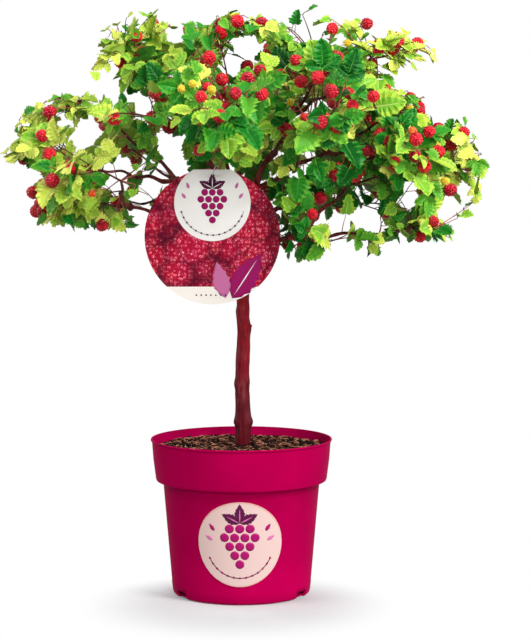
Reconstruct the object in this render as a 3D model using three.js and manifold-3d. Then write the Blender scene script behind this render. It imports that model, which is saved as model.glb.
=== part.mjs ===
// A raspberry grown as a small standard tree in a round nursery pot: one trunk, boughs that spread from its
// fork, masses of twigs with leaves and fruit at their tips, a hanging label and a sticker on the pot.
// Millimetres, +Z up. The origin is the middle of the pot's flat underside; the label faces -Y.
import * as THREE from 'three';
import { mergeVertices } from 'three/addons/utils/BufferGeometryUtils.js';
import Module from 'manifold-3d';

const wasm = await Module();
wasm.setup();

// ---------------------------------------------------------------- driving dimensions
const CLEARANCE = 0.3; // between pieces that rest against each other
const WELD = { shapes: 1e-4, cuts: 2e-3 }; // corners nearer than this become one, in a shape and after a cut

const POT = {
  height: 193,
  rimRadius: 112.5,
  collarHeight: 50,
  collarFootRadius: 106.2,
  bodyTopRadius: 96.9,
  bodyTopHeight: 137,
  bodyFootRadius: 85.8,
  footRound: 5,
  wall: 2.2,
  floor: 3,
  innerRound: 3,
  ledge: 2,
  lip: 2.4,
  lipRound: 1.4,
  facets: 36,
};
const NOTCH = { count: 3, width: 24, height: 8.5, corner: 4, depth: 14, firstHeading: 90 };
const SOIL = { top: 185, edgeDrop: 2, shoulderRadius: 70, shoulderDrop: 0.8, offPot: CLEARANCE + 0.1 };
const STICKER = {
  radius: 52.5,
  height: 76,
  across: -2,
  thickness: 0.5,
  offWall: 0.4,
  columns: 12,
  cornerTurn: 0.1,
};

const CARD = { radius: 83.4, x: -35.3, height: 443.6, back: -8.3, thickness: 0.8 };
const CARD_DISC = { radius: 46.9, rise: 41.3, topCut: 82.2, thickness: 0.6 };
const CARD_HOLE = { x: -34.8, height: 518.5, radius: 2.35 };
// The tie's slacks are how far it keeps off the limb, the card's faces and the card's top edge.
const TIE = { radius: 0.7, slack: 1.6, offFace: 2.2, offEdge: 3.4, rise: 6, sides: 4, steps: 24 };

const TRUNK = {
  foot: SOIL.top + CLEARANCE,
  x: 1.4,
  forkX: 3.2,
  top: 468,
  sides: 10,
  steps: 16,
  waviness: 0.7,
  waves: 17,
};
// The trunk's radius at heights above the soil: a swollen root collar over a waist, then an even taper.
const TRUNK_RADII = [
  [0, 9.1],
  [12, 9.3],
  [26, 9.9],
  [40, 9.2],
  [70, 8.6],
  [150, 7.9],
  [255, 7.7],
  [283, 6.6],
];

const LIMB = { sides: 5, steps: 6, kinkAside: 1.1, kinkUp: 2.2, samples: 24 };
const CROWN = { heart: 520, lean: 0.5, reach: 307, top: 731, middle: 530, underside: 406, flatness: 3 };
const LABEL_SPACE = { margin: 6, front: -7.6 }; // kept free of leaves, behind the card's back and before it

const STEM = {
  sides: 3,
  steps: 3,
  thickness: 0.95, // of its bough's tip
  tipRadius: 1.3,
  knee: 0.5,
  middle: 0.62,
  leafAt: [0.84, 0.66, 0.48],
};
const TWIG = {
  tries: 18,
  perMass: 8,
  between: [0.1, 0.94], // shares of the stem
  turnJitter: 0.4,
  splay: [0.75, 1.15], // radians from the stem
  lift: 0.25,
  length: [40, 66],
  shorterBy: 0.3, // towards the stem's tip
  radius: 1.15,
  ofStem: 0.46, // at most this share of the stem's radius
  tipRadius: 0.6,
  leafAt: [0.84, 0.5],
  fruitAt: 0.7,
  clear: 3, // from limbs
};
const LEAF = {
  perMass: 17,
  length: [44, 60],
  width: 0.62, // of its length, as are the thickness, the widest place and the cup
  thickness: 0.028,
  widest: 0.45,
  cup: 0.07,
  splay: 1.25,
  tilt: 0.55,
  droop: 0.35,
  clear: 2.5,
  apart: 7, // from the tip, sides and middle of every other leaf of the mass
};
const FRUIT = {
  perMass: 3,
  radius: 7.6,
  length: 16,
  size: [0.86, 1.1],
  stalk: 17,
  stalkSize: [0.8, 1.25],
  stalkRadius: 0.7,
  sway: [[-0.6, 0.6], [-0.6, 0.6], [-0.9, 0.3]], // along X, Y and Z
  outward: 1.1,
  middle: 0.45, // shares of the length from the stalk's end
  widest: 0.35,
  shoulder: 0.75,
  shoulderRadius: 0.78,
  clear: 2,
  offLeaf: 3,
  sides: 5,
};
const ROOT_REACH = 5; // how far round its root a twig, leaf or stalk may be sunk in what carries it
const ROOT_SHARE = 0.4; // the radius of a leaf's or fruit's root as a share of what carries it
const CUT_BACK = { twig: [1, 0.7, 0.42], leaf: [1, 0.8] }; // lengths tried, where the first has no room
const BARE_SHARES = [0.3, 0.6, 1]; // places along a twig that keep clear of limbs
const NEAR_LIMB = 20; // a limb this near to a mass's space is one that its leaves could touch
const GOLDEN_ANGLE = THREE.MathUtils.degToRad(137.5);

// Each limb leaves its parent at a share of the parent's length, setting off at one heading and slope and
// arriving at another. Headings turn round the trunk in degrees: 0 to the right, 90 to the back, 270 to the
// front. The reach is from the trunk's axis and the height is above the pot's underside.
const LIMBS = [
  { name: 'bough_upright_right', parent: 'trunk', share: 0.99, setOff: 0, leave: 74,
    heading: 357, reach: 88, height: 640, arrive: 62, radii: [5.6, 3.0] },
  { name: 'bough_centre_left', parent: 'trunk', share: 0.97, setOff: 177, leave: 62,
    heading: 188, reach: 98, height: 618, arrive: 50, radii: [5.2, 2.8] },
  { name: 'bough_left_high', parent: 'trunk', share: 0.935, setOff: 172, leave: 38,
    heading: 172, reach: 160, height: 582, arrive: 42, radii: [4.9, 2.6] },
  { name: 'bough_left_low', parent: 'trunk', share: 0.885, setOff: 176, leave: 18,
    heading: 182, reach: 190, height: 489, arrive: 8, radii: [4.6, 2.5] },
  { name: 'bough_right_lowest', parent: 'trunk', share: 0.885, setOff: 8, leave: 4,
    heading: 346, reach: 188, height: 452, arrive: 5, radii: [4.6, 2.5] },
  { name: 'bough_back_centre', parent: 'trunk', share: 0.955, setOff: 95, leave: 40,
    heading: 95, reach: 165, height: 556, arrive: 32, radii: [4.9, 2.6] },
  { name: 'bough_back_right', parent: 'trunk', share: 0.915, setOff: 48, leave: 24,
    heading: 50, reach: 175, height: 532, arrive: 26, radii: [4.7, 2.6] },
  { name: 'bough_back_left', parent: 'trunk', share: 0.905, setOff: 132, leave: 26,
    heading: 136, reach: 172, height: 536, arrive: 24, radii: [4.7, 2.6] },
  { name: 'bough_right_mid', parent: 'bough_upright_right', share: 0.2, setOff: 0, leave: 30,
    heading: 347, reach: 170, height: 586, arrive: 30, radii: [4.0, 2.4] },
  { name: 'bough_top_right', parent: 'bough_upright_right', share: 0.72, setOff: 350, leave: 30,
    heading: 353, reach: 138, height: 646, arrive: 45, radii: [3.0, 2.2] },
  { name: 'bough_front_right', parent: 'bough_upright_right', share: 0.42, setOff: 290, leave: 22,
    heading: 304, reach: 132, height: 574, arrive: 4, radii: [3.6, 2.3] },
  { name: 'bough_top_centre', parent: 'bough_centre_left', share: 0.5, setOff: 20, leave: 72,
    heading: 215, reach: 24, height: 636, arrive: 80, radii: [3.4, 2.2] },
  { name: 'bough_front_left', parent: 'bough_centre_left', share: 0.64, setOff: 235, leave: 20,
    heading: 226, reach: 148, height: 586, arrive: 4, radii: [3.4, 2.2] },
  { name: 'bough_front_centre', parent: 'bough_centre_left', share: 0.52, setOff: 288, leave: 30,
    heading: 262, reach: 138, height: 588, arrive: 6, radii: [3.6, 2.3] },
  { name: 'bough_left_mid', parent: 'bough_left_high', share: 0.5, setOff: 180, leave: -2,
    heading: 178, reach: 184, height: 528, arrive: 8, radii: [3.4, 2.2] },
  { name: 'bough_left_front', parent: 'bough_left_low', share: 0.74, setOff: 218, leave: 22,
    heading: 212, reach: 186, height: 520, arrive: 10, radii: [3.2, 2.2] },
  { name: 'bough_right_low', parent: 'bough_right_lowest', share: 0.34, setOff: 12, leave: 38,
    heading: 6, reach: 172, height: 519, arrive: 6, radii: [3.6, 2.3] },
  { name: 'bough_front_right_low', parent: 'bough_right_lowest', share: 0.46, setOff: 312, leave: -4,
    heading: 318, reach: 128, height: 440, arrive: -8, radii: [3.2, 2.2] },
  { name: 'bough_right_front', parent: 'bough_right_mid', share: 0.56, setOff: 320, leave: -2,
    heading: 326, reach: 188, height: 542, arrive: 4, radii: [3.1, 2.2] },
  { name: 'bough_back_left_low', parent: 'bough_back_left', share: 0.4, setOff: 160, leave: 0,
    heading: 150, reach: 165, height: 484, arrive: 0, radii: [3.4, 2.2] },
  { name: 'bough_back_right_low', parent: 'bough_back_right', share: 0.4, setOff: 25, leave: 0,
    heading: 35, reach: 165, height: 480, arrive: 0, radii: [3.4, 2.2] },
  { name: 'bough_top_back_left', parent: 'bough_back_centre', share: 0.46, setOff: 130, leave: 58,
    heading: 126, reach: 112, height: 626, arrive: 60, radii: [3.4, 2.2] },
  { name: 'bough_top_back_right', parent: 'bough_back_centre', share: 0.56, setOff: 50, leave: 55,
    heading: 58, reach: 118, height: 622, arrive: 60, radii: [3.2, 2.2] },
];

// Each mass of foliage has a stem that goes on from its bough's tip to a heading, reach and height.
const MASSES = [
  { name: 'foliage_top_right_centre', bough: 'bough_upright_right', heading: 357, reach: 84, height: 676 },
  { name: 'foliage_top_left', bough: 'bough_centre_left', heading: 186, reach: 140, height: 668 },
  { name: 'foliage_left_upper', bough: 'bough_left_high', heading: 171, reach: 232, height: 618 },
  { name: 'foliage_left_low', bough: 'bough_left_low', heading: 191, reach: 226, height: 486 },
  { name: 'foliage_right_low', bough: 'bough_right_lowest', heading: 342, reach: 240, height: 456 },
  { name: 'foliage_back_centre', bough: 'bough_back_centre', heading: 93, reach: 250, height: 590 },
  { name: 'foliage_back_right', bough: 'bough_back_right', heading: 50, reach: 252, height: 560 },
  { name: 'foliage_back_left', bough: 'bough_back_left', heading: 134, reach: 252, height: 562 },
  { name: 'foliage_right_upper', bough: 'bough_right_mid', heading: 345, reach: 240, height: 616 },
  { name: 'foliage_top_right', bough: 'bough_top_right', heading: 352, reach: 184, height: 664 },
  { name: 'foliage_front_right', bough: 'bough_front_right', heading: 298, reach: 232, height: 586 },
  { name: 'foliage_top_centre', bough: 'bough_top_centre', heading: 205, reach: 30, height: 672 },
  { name: 'foliage_front_left', bough: 'bough_front_left', heading: 231, reach: 240, height: 590 },
  { name: 'foliage_front_centre', bough: 'bough_front_centre', heading: 265, reach: 246, height: 594 },
  { name: 'foliage_far_left', bough: 'bough_left_mid', heading: 179, reach: 244, height: 540 },
  { name: 'foliage_left_front', bough: 'bough_left_front', heading: 213, reach: 254, height: 530 },
  { name: 'foliage_far_right', bough: 'bough_right_low', heading: 3, reach: 256, height: 536 },
  { name: 'foliage_front_right_low', bough: 'bough_front_right_low', heading: 312, reach: 178, height: 450 },
  { name: 'foliage_right_front', bough: 'bough_right_front', heading: 325, reach: 254, height: 540 },
  { name: 'foliage_back_left_low', bough: 'bough_back_left_low', heading: 154, reach: 238, height: 480 },
  { name: 'foliage_back_right_low', bough: 'bough_back_right_low', heading: 28, reach: 238, height: 474 },
  { name: 'foliage_top_back_left', bough: 'bough_top_back_left', heading: 124, reach: 152, height: 664 },
  { name: 'foliage_top_back_right', bough: 'bough_top_back_right', heading: 60, reach: 156, height: 660 },
];

// ---------------------------------------------------------------- finishes
const finish = (color, roughness) => new THREE.MeshStandardMaterial({ color, roughness, metalness: 0 });
const FINISH = {
  pot: () => finish(0xb5004c, 0.42),
  soil: () => finish(0x4a2e22, 0.95),
  sticker: () => finish(0xe8cdc4, 0.6),
  card: () => finish(0x9c1734, 0.5),
  disc: () => finish(0xf4f1ec, 0.55),
  tie: () => finish(0xf0f0ea, 0.5),
  bark: () => finish(0x6b1f24, 0.75),
  bough: () => finish(0x4a2a24, 0.75),
  leaves: () => finish(0x6fa52f, 0.6),
};

// ---------------------------------------------------------------- solids
/** A closed manifold-3d solid from a geometry, without the slivers that a lathe leaves on its axis. */
function toSolid(geometry, nearest = WELD.shapes) {
  const bare = geometry.clone();
  bare.deleteAttribute('normal');
  bare.deleteAttribute('uv');
  const merged = mergeVertices(bare, nearest);
  const corners = [];
  for (let i = 0; i < merged.index.count; i += 3) {
    const [a, b, c] = [0, 1, 2].map((k) => merged.index.getX(i + k));
    if (a !== b && b !== c && c !== a) corners.push(a, b, c);
  }
  const vertProperties = new Float32Array(merged.attributes.position.array);
  return new wasm.Manifold(new wasm.Mesh({ numProp: 3, vertProperties, triVerts: new Uint32Array(corners) }));
}

/** The geometry of a manifold-3d solid. */
function toGeometry(solid) {
  const { vertProperties, triVerts } = solid.getMesh();
  const geometry = new THREE.BufferGeometry();
  geometry.setAttribute('position', new THREE.BufferAttribute(new Float32Array(vertProperties), 3));
  geometry.setIndex(new THREE.BufferAttribute(new Uint32Array(triVerts), 1));
  geometry.computeVertexNormals();
  return geometry;
}

/** A solid whose corners that a cut left too near each other are one. */
const weld = (solid) => toSolid(toGeometry(solid), WELD.cuts);

/** The largest body of a solid, which drops scraps that a cut leaves. */
function largestBody(solid) {
  return solid.decompose().reduce((best, body) => (body.volume() > best.volume() ? body : best));
}

/** A named mesh of a solid. */
function meshOf(name, solid, material) {
  const mesh = new THREE.Mesh(toGeometry(solid), material);
  mesh.name = name;
  return mesh;
}

/** Moves each vertex of a geometry to where a function places it. */
function reshape(geometry, place) {
  const position = geometry.attributes.position;
  const point = new THREE.Vector3();
  for (let i = 0; i < position.count; i += 1) {
    place(point.fromBufferAttribute(position, i));
    position.setXYZ(i, point.x, point.y, point.z);
  }
  return geometry;
}

/** A solid turned round the vertical axis from a profile of [radius, height] points. */
function turned(profile, segments) {
  const outline = profile.map(([radius, height]) => new THREE.Vector2(radius, height));
  return toSolid(new THREE.LatheGeometry(outline, segments).rotateX(Math.PI / 2));
}

/** A flat plate across Y, from a shape in X and Z, its back at y and its front before it. */
function plate(shape, y, thickness) {
  const geometry = new THREE.ExtrudeGeometry(shape, { depth: thickness, bevelEnabled: false });
  return toSolid(geometry.rotateX(Math.PI / 2).translate(0, y, 0));
}

const arcPoints = (x, y, radius, from, to, steps) =>
  new THREE.EllipseCurve(x, y, radius, radius, from, to).getPoints(steps);

// ---------------------------------------------------------------- paths
const direction = (heading, slope) => {
  const turn = THREE.MathUtils.degToRad(heading);
  const rise = THREE.MathUtils.degToRad(slope);
  return new THREE.Vector3(Math.cos(turn) * Math.cos(rise), Math.sin(turn) * Math.cos(rise), Math.sin(rise));
};

/** The point at a heading and reach from the trunk's axis, at a height. */
const crownPoint = ({ heading, reach, height }) =>
  direction(heading, 0).multiplyScalar(reach).add(new THREE.Vector3(TRUNK.forkX, 0, height));

/** Two directions square to a tangent: one level, one as near to upright as it can be. */
function acrossOf(tangent) {
  const level = new THREE.Vector3(-tangent.y, tangent.x, 0);
  if (level.length() < 1e-3) level.set(0, 1, 0);
  level.normalize();
  return { level, raised: tangent.clone().cross(level).negate() };
}

const middleOf = (points) =>
  points.reduce((sum, point) => sum.add(point), new THREE.Vector3()).divideScalar(points.length);

/** A closed solid through rings of corners: each row of a cylinder's vertices moves to one ring. */
function loftSolid(rings) {
  const sides = rings[0].length;
  const steps = rings.length - 1;
  return toSolid(reshape(new THREE.CylinderGeometry(1, 1, 1, sides, steps), (point) => {
    const ring = rings[Math.round((0.5 + point.y) * steps)];
    const corner = Math.round((Math.atan2(point.x, point.z) / (2 * Math.PI) + 1) * sides) % sides;
    if (Math.hypot(point.x, point.z) > 0.5) point.copy(ring[corner]);
    else point.copy(middleOf(ring));
  }));
}

/** A ring of corners round a centre, in the plane of two directions, the first turned towards the second. */
function ringOf(centre, { right, down }, radius, sides) {
  return Array.from({ length: sides }, (_, i) => {
    const turn = (2 * Math.PI * i) / sides - Math.PI / 6;
    return centre.clone()
      .addScaledVector(right, radius * Math.cos(turn))
      .addScaledVector(down, radius * Math.sin(turn));
  });
}

const pointRing = (point, sides) => Array.from({ length: sides }, () => point.clone());

/** The two directions across a way ahead, from the one that should face up. */
function frameOf(ahead, facing) {
  const up = facing.clone().addScaledVector(ahead, -facing.dot(ahead)).normalize();
  return { right: ahead.clone().cross(up), down: up.clone().negate(), up };
}

/** A closed tapering limb along a path. */
function limbSolid(path, radiusAt, { sides, steps }, grown = 0) {
  const chord = path.getPoint(1).sub(path.getPoint(0)).normalize();
  const guide = acrossOf(chord).level;
  return loftSolid(Array.from({ length: steps + 1 }, (_, i) => {
    const share = i / steps;
    const tangent = path.getTangent(share);
    const overrun = (share === 1 ? grown : 0) - (share === 0 ? grown : 0);
    const centre = path.getPoint(share).addScaledVector(tangent, overrun);
    return ringOf(centre, frameOf(tangent, guide), radiusAt(share) + grown, sides);
  }));
}

const mix = THREE.MathUtils.lerp;

/** Linear interpolation in a list of [place, value] pairs. */
function along(pairs, place) {
  const after = pairs.findIndex(([at]) => at >= place);
  if (after < 0) return pairs.at(-1)[1];
  if (after === 0) return pairs[0][1];
  const [[from, first], [to, last]] = [pairs[after - 1], pairs[after]];
  return mix(first, last, (place - from) / (to - from));
}

/** Repeatable random numbers from 0 to 1. */
function seededDraw(seed) {
  let state = seed >>> 0;
  return () => {
    state = (state + 0x6d2b79f5) >>> 0;
    let t = Math.imul(state ^ (state >>> 15), 1 | state);
    t = (t + Math.imul(t ^ (t >>> 7), 61 | t)) ^ t;
    return ((t ^ (t >>> 14)) >>> 0) / 4294967296;
  };
}

// ---------------------------------------------------------------- pot, soil and sticker
const bodyRadiusAt = (height) =>
  mix(POT.bodyFootRadius, POT.bodyTopRadius, (height - POT.footRound) / (POT.bodyTopHeight - POT.footRound));
const collarBottom = POT.height - POT.collarHeight;

function potSolid() {
  const { height, rimRadius, collarFootRadius, bodyTopRadius, bodyTopHeight, bodyFootRadius } = POT;
  const { wall, floor, footRound, innerRound, ledge, lip, lipRound } = POT;
  const outside = [
    [0, 0],
    [bodyFootRadius - footRound, 0],
    [bodyFootRadius - 0.3 * footRound, 0.3 * footRound],
    [bodyFootRadius, footRound],
    [bodyTopRadius, bodyTopHeight],
    [collarFootRadius - ledge, collarBottom - ledge],
    [collarFootRadius, collarBottom + 0.5 * ledge],
    [rimRadius - lipRound, height - lip],
    [rimRadius, height - 0.6 * lip],
    [rimRadius - 0.3 * lipRound, height],
  ];
  const inside = [
    [rimRadius - wall, height],
    [collarFootRadius - wall, collarBottom + innerRound],
    [bodyTopRadius - wall, bodyTopHeight + ledge],
    [bodyFootRadius - wall, footRound + floor],
    [bodyFootRadius - wall - innerRound, floor],
    [0, floor],
  ];
  let solid = turned([...outside, ...inside], POT.facets);
  for (let i = 0; i < NOTCH.count; i += 1) {
    const turn = THREE.MathUtils.degToRad(NOTCH.firstHeading + (360 / NOTCH.count) * i);
    solid = solid.subtract(toSolid(notchGeometry().rotateZ(turn)));
  }
  return solid;
}

/** A drainage notch through the foot of the wall on the +X side: flat below, rounded at its top corners. */
function notchGeometry() {
  const { width, height, corner, depth } = NOTCH;
  const half = width / 2;
  const shape = new THREE.Shape();
  shape.moveTo(-half, -1);
  shape.lineTo(half, -1);
  shape.lineTo(half, height - corner);
  shape.absarc(half - corner, height - corner, corner, 0, Math.PI / 2);
  shape.absarc(corner - half, height - corner, corner, Math.PI / 2, Math.PI);
  const geometry = new THREE.ExtrudeGeometry(shape, { depth, bevelEnabled: false, curveSegments: 3 });
  return geometry.rotateX(Math.PI / 2).rotateZ(Math.PI / 2).translate(POT.bodyFootRadius - 0.6 * depth, 0, 0);
}

function soilSolid() {
  const { height, rimRadius, collarFootRadius, bodyTopRadius, bodyTopHeight, bodyFootRadius } = POT;
  const { wall, floor, footRound, innerRound, ledge } = POT;
  const { top, edgeDrop, shoulderRadius, shoulderDrop, offPot: gap } = SOIL;
  const collarFoot = collarBottom + innerRound;
  const topShare = (top - edgeDrop - collarFoot) / (height - collarFoot);
  const profile = [
    [0, floor + gap],
    [bodyFootRadius - wall - innerRound - gap, floor + gap],
    [bodyFootRadius - wall - gap, footRound + floor + gap],
    [bodyTopRadius - wall - gap, bodyTopHeight + ledge + gap],
    [collarFootRadius - wall - gap, collarFoot + gap],
    [mix(collarFootRadius, rimRadius, topShare) - wall - gap, top - edgeDrop],
    [shoulderRadius, top - shoulderDrop],
    [0, top],
  ];
  return turned(profile, POT.facets);
}

/** A round sticker that bends round the pot's front: the columns of a box follow the wall. */
function stickerSolid() {
  const { radius, height, across, thickness, offWall, columns, cornerTurn } = STICKER;
  const geometry = reshape(new THREE.BoxGeometry(1, 1, 1, columns, 1, 1), (point) => {
    const turn = mix(Math.PI - cornerTurn, cornerTurn, point.x + 0.5);
    const aside = across + radius * Math.cos(turn);
    const z = height + 2 * point.y * radius * Math.sin(turn);
    const wallRadius = bodyRadiusAt(z) + offWall + (point.z + 0.5) * thickness;
    const heading = aside / bodyRadiusAt(height);
    point.set(Math.sin(heading) * wallRadius, -Math.cos(heading) * wallRadius, z);
  });
  return toSolid(geometry);
}

// ---------------------------------------------------------------- label
function withHole(shape) {
  const { x, height, radius } = CARD_HOLE;
  shape.holes.push(new THREE.Path(arcPoints(x, height, radius, 0, 2 * Math.PI, 8).slice(0, -1)));
  return shape;
}

function cardSolid() {
  const rim = arcPoints(CARD.x, CARD.height, CARD.radius, 0, 2 * Math.PI, 40).slice(0, -1);
  return plate(withHole(new THREE.Shape(rim)), CARD.back, CARD.thickness);
}

/** The small disc on the card's upper half, whose top is cut level. */
function discSolid() {
  const start = Math.asin((CARD_DISC.topCut - CARD_DISC.rise) / CARD_DISC.radius);
  const middle = CARD.height + CARD_DISC.rise;
  const rim = arcPoints(CARD.x, middle, CARD_DISC.radius, Math.PI - start, 2 * Math.PI + start, 30);
  return plate(withHole(new THREE.Shape(rim)), CARD.back - CARD.thickness - CLEARANCE, CARD_DISC.thickness);
}

/** The thin tie through the label's hole and round the limb behind it: a torus laid along a closed path. */
function tieSolid(limb) {
  const front = CARD.back - CARD.thickness - CLEARANCE - CARD_DISC.thickness;
  const cardTop = CARD.height + CARD.radius;
  const share = limb.shareAtHeight(CARD_HOLE.height + TIE.rise);
  const held = limb.path.getPoint(share);
  const tangent = limb.path.getTangent(share);
  const out = new THREE.Vector3(tangent.z, 0, -tangent.x).normalize();
  const round = limb.radiusAt(share) + TIE.radius + TIE.slack;
  const beside = (aside, behind) =>
    held.clone().addScaledVector(out, aside * round).add(new THREE.Vector3(0, behind * round, 0));
  const byHole = (aside, y, z) => new THREE.Vector3(CARD_HOLE.x + aside, y, z);
  const path = new THREE.CatmullRomCurve3([
    byHole(0, (CARD.back + front) / 2, CARD_HOLE.height + 0.6),
    byHole(-0.4, CARD.back + TIE.offFace, CARD_HOLE.height - 0.8),
    beside(-1, 0.35),
    beside(-0.15, 1.1),
    beside(0.95, 0.35),
    byHole(4.5, CARD.back + 0.7 * TIE.offFace, cardTop + TIE.offEdge),
    byHole(2.4, front - 0.7 * TIE.offFace, cardTop + 0.6),
    byHole(0.6, front - TIE.offFace, CARD_HOLE.height + TIE.offEdge),
  ], true);
  const tieFacing = new THREE.Vector3(0.86, 0, 0.5);
  const geometry = reshape(new THREE.TorusGeometry(2, 1, TIE.sides, TIE.steps), (point) => {
    const round01 = (Math.atan2(point.y, point.x) / (2 * Math.PI) + 1) % 1;
    const aside = Math.hypot(point.x, point.y) - 2;
    const up = point.z;
    const ahead = path.getTangent(round01);
    const { up: first, right } = frameOf(ahead, tieFacing);
    point.copy(path.getPoint(round01))
      .addScaledVector(first, aside * TIE.radius)
      .addScaledVector(right, -up * TIE.radius);
  });
  return toSolid(geometry);
}

// ---------------------------------------------------------------- trunk and boughs
/** A limb with its path, its radius by share, and its solid as it is and grown by the clearance. */
class Limb {
  constructor(name, nodes, radiusAt, shape) {
    this.name = name;
    this.path = new THREE.CatmullRomCurve3(nodes, false, 'catmullrom', 0.5);
    this.radiusAt = radiusAt;
    this.solid = limbSolid(this.path, radiusAt, shape);
    this.keepOut = limbSolid(this.path, radiusAt, shape, CLEARANCE);
    this.samples = Array.from({ length: LIMB.samples + 1 }, (_, i) => {
      const share = i / LIMB.samples;
      return { share, point: this.path.getPoint(share), radius: radiusAt(share) };
    });
  }

  shareAtHeight(height) {
    return along(this.samples.map(({ share, point }) => [point.z, share]), height);
  }

  /** How far a point is from the limb's surface. */
  distanceTo(point) {
    let nearest = Infinity;
    const segment = new THREE.Line3();
    const foot = new THREE.Vector3();
    for (let i = 1; i < this.samples.length; i += 1) {
      segment.set(this.samples[i - 1].point, this.samples[i].point);
      segment.closestPointToPoint(point, true, foot);
      nearest = Math.min(nearest, foot.distanceTo(point) - this.samples[i].radius);
    }
    return nearest;
  }
}

function makeTrunk() {
  const height = TRUNK.top - TRUNK.foot;
  const nodes = Array.from({ length: TRUNK.steps + 1 }, (_, i) => {
    const share = i / TRUNK.steps;
    const sway = TRUNK.waviness * Math.sin(share * TRUNK.waves);
    const x = mix(TRUNK.x, TRUNK.forkX, share) + sway;
    return new THREE.Vector3(x, -0.6 * sway, TRUNK.foot + height * share);
  });
  return new Limb('trunk', nodes, (share) => along(TRUNK_RADII, height * share), TRUNK);
}

/** A limb's nodes on a cubic curve, with a small kink to and fro at each node between its ends. */
function limbNodes(row, start) {
  const end = crownPoint(row);
  const third = start.distanceTo(end) / 3;
  const curve = new THREE.CubicBezierCurve3(
    start,
    start.clone().addScaledVector(direction(row.setOff, row.leave), third),
    end.clone().addScaledVector(direction(row.heading, row.arrive), -third),
    end,
  );
  return Array.from({ length: LIMB.steps + 1 }, (_, i) => {
    const node = curve.getPoint(i / LIMB.steps);
    if (i === 0 || i === LIMB.steps) return node;
    const { level, raised } = acrossOf(curve.getTangent(i / LIMB.steps));
    const side = i % 2 ? 1 : -1;
    return node.addScaledVector(level, side * LIMB.kinkAside).addScaledVector(raised, side * LIMB.kinkUp);
  });
}

function makeLimbs() {
  const limbs = new Map([['trunk', makeTrunk()]]);
  for (const row of LIMBS) {
    const start = limbs.get(row.parent).path.getPoint(row.share);
    const [thick, thin] = row.radii;
    limbs.set(row.name, new Limb(row.name, limbNodes(row, start), (share) => mix(thick, thin, share), LIMB));
  }
  return limbs;
}

/** Each limb's solid, cut clear of the limbs that come before it. */
function limbSolids(limbs) {
  const before = [];
  return [...limbs.values()].map((limb) => {
    const solid = cutClear(limb.solid, before);
    before.push(limb);
    return { name: limb.name, solid };
  });
}

/** A solid less the room that limbs take up, as one body. */
function cutClear(solid, limbs) {
  const near = limbs.map(({ keepOut }) => keepOut).filter((keepOut) => boxesMeet(keepOut, solid));
  return weld(largestBody(near.length ? solid.subtract(wasm.Manifold.union(near)) : solid));
}

function boxesMeet(one, other) {
  const [a, b] = [one.boundingBox(), other.boundingBox()];
  return [0, 1, 2].every((k) => a.min[k] <= b.max[k] && b.min[k] <= a.max[k]);
}

// ---------------------------------------------------------------- foliage
/** The space of a mass: its side of the planes halfway to its neighbours, under the crown's dome. */
class Space {
  constructor(mass, others, limbs) {
    this.middle = mass.middle;
    this.planes = others.map(({ middle }) => {
      const normal = middle.clone().sub(mass.middle);
      const half = normal.length() / 2;
      return { normal: normal.normalize(), reach: half - CLEARANCE };
    });
    const nearby = ({ samples }) => samples.some(({ point }) => this.insidePlanes(point, NEAR_LIMB));
    this.limbs = limbs.filter(nearby);
  }

  insidePlanes(point, spare = 0) {
    const from = point.clone().sub(this.middle);
    return this.planes.every(({ normal, reach }) => from.dot(normal) <= reach + spare);
  }

  inCrown(point) {
    if (point.z < CROWN.underside) return false;
    const across = Math.hypot(point.x - TRUNK.forkX, point.y) / CROWN.reach;
    const rise = Math.max(0, point.z - CROWN.middle) / (CROWN.top - CROWN.middle);
    return across ** CROWN.flatness + rise ** CROWN.flatness <= 1;
  }

  offLabel(point) {
    const { margin, front } = LABEL_SPACE;
    const aside = Math.hypot(point.x - CARD.x, point.z - CARD.height);
    return point.y > front + margin || aside > CARD.radius + margin;
  }

  holds(points) {
    return points.every((point) => this.insidePlanes(point) && this.inCrown(point) && this.offLabel(point));
  }

  clears(points, margin) {
    return points.every((point) => this.limbs.every((limb) => limb.distanceTo(point) > margin));
  }
}

/** The way out of the crown at a point, leaning upwards. */
function outwardAt(point) {
  const out = point.clone().sub(new THREE.Vector3(TRUNK.forkX, 0, CROWN.heart)).normalize();
  return out.add(new THREE.Vector3(0, 0, CROWN.lean)).normalize();
}

/** A leaf's widest ring, its tip, and points spread over it for testing what it would touch. */
function leafShape(base, ahead, facing, length) {
  const frame = frameOf(ahead, facing);
  const half = (LEAF.width * length) / 2;
  const middle = base.clone().addScaledVector(ahead, LEAF.widest * length);
  const rim = middle.clone().addScaledVector(frame.up, LEAF.cup * length);
  const left = rim.clone().addScaledVector(frame.right, -half);
  const right = rim.clone().addScaledVector(frame.right, half);
  const below = rim.clone().addScaledVector(frame.down, LEAF.thickness * length);
  const tip = base.clone().addScaledVector(ahead, length);
  const between = (a, b, share) => a.clone().lerp(b, share);
  const spread = [rim, tip, left, right, ...[tip, left, right].map((end) => between(rim, end, 0.5))];
  const rest = [left, right].flatMap((side) => [between(side, tip, 0.4), between(base, side, 0.6)]);
  return { frame, widest: [right, below, left], tip, spread, points: [...spread, ...rest] };
}

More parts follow.
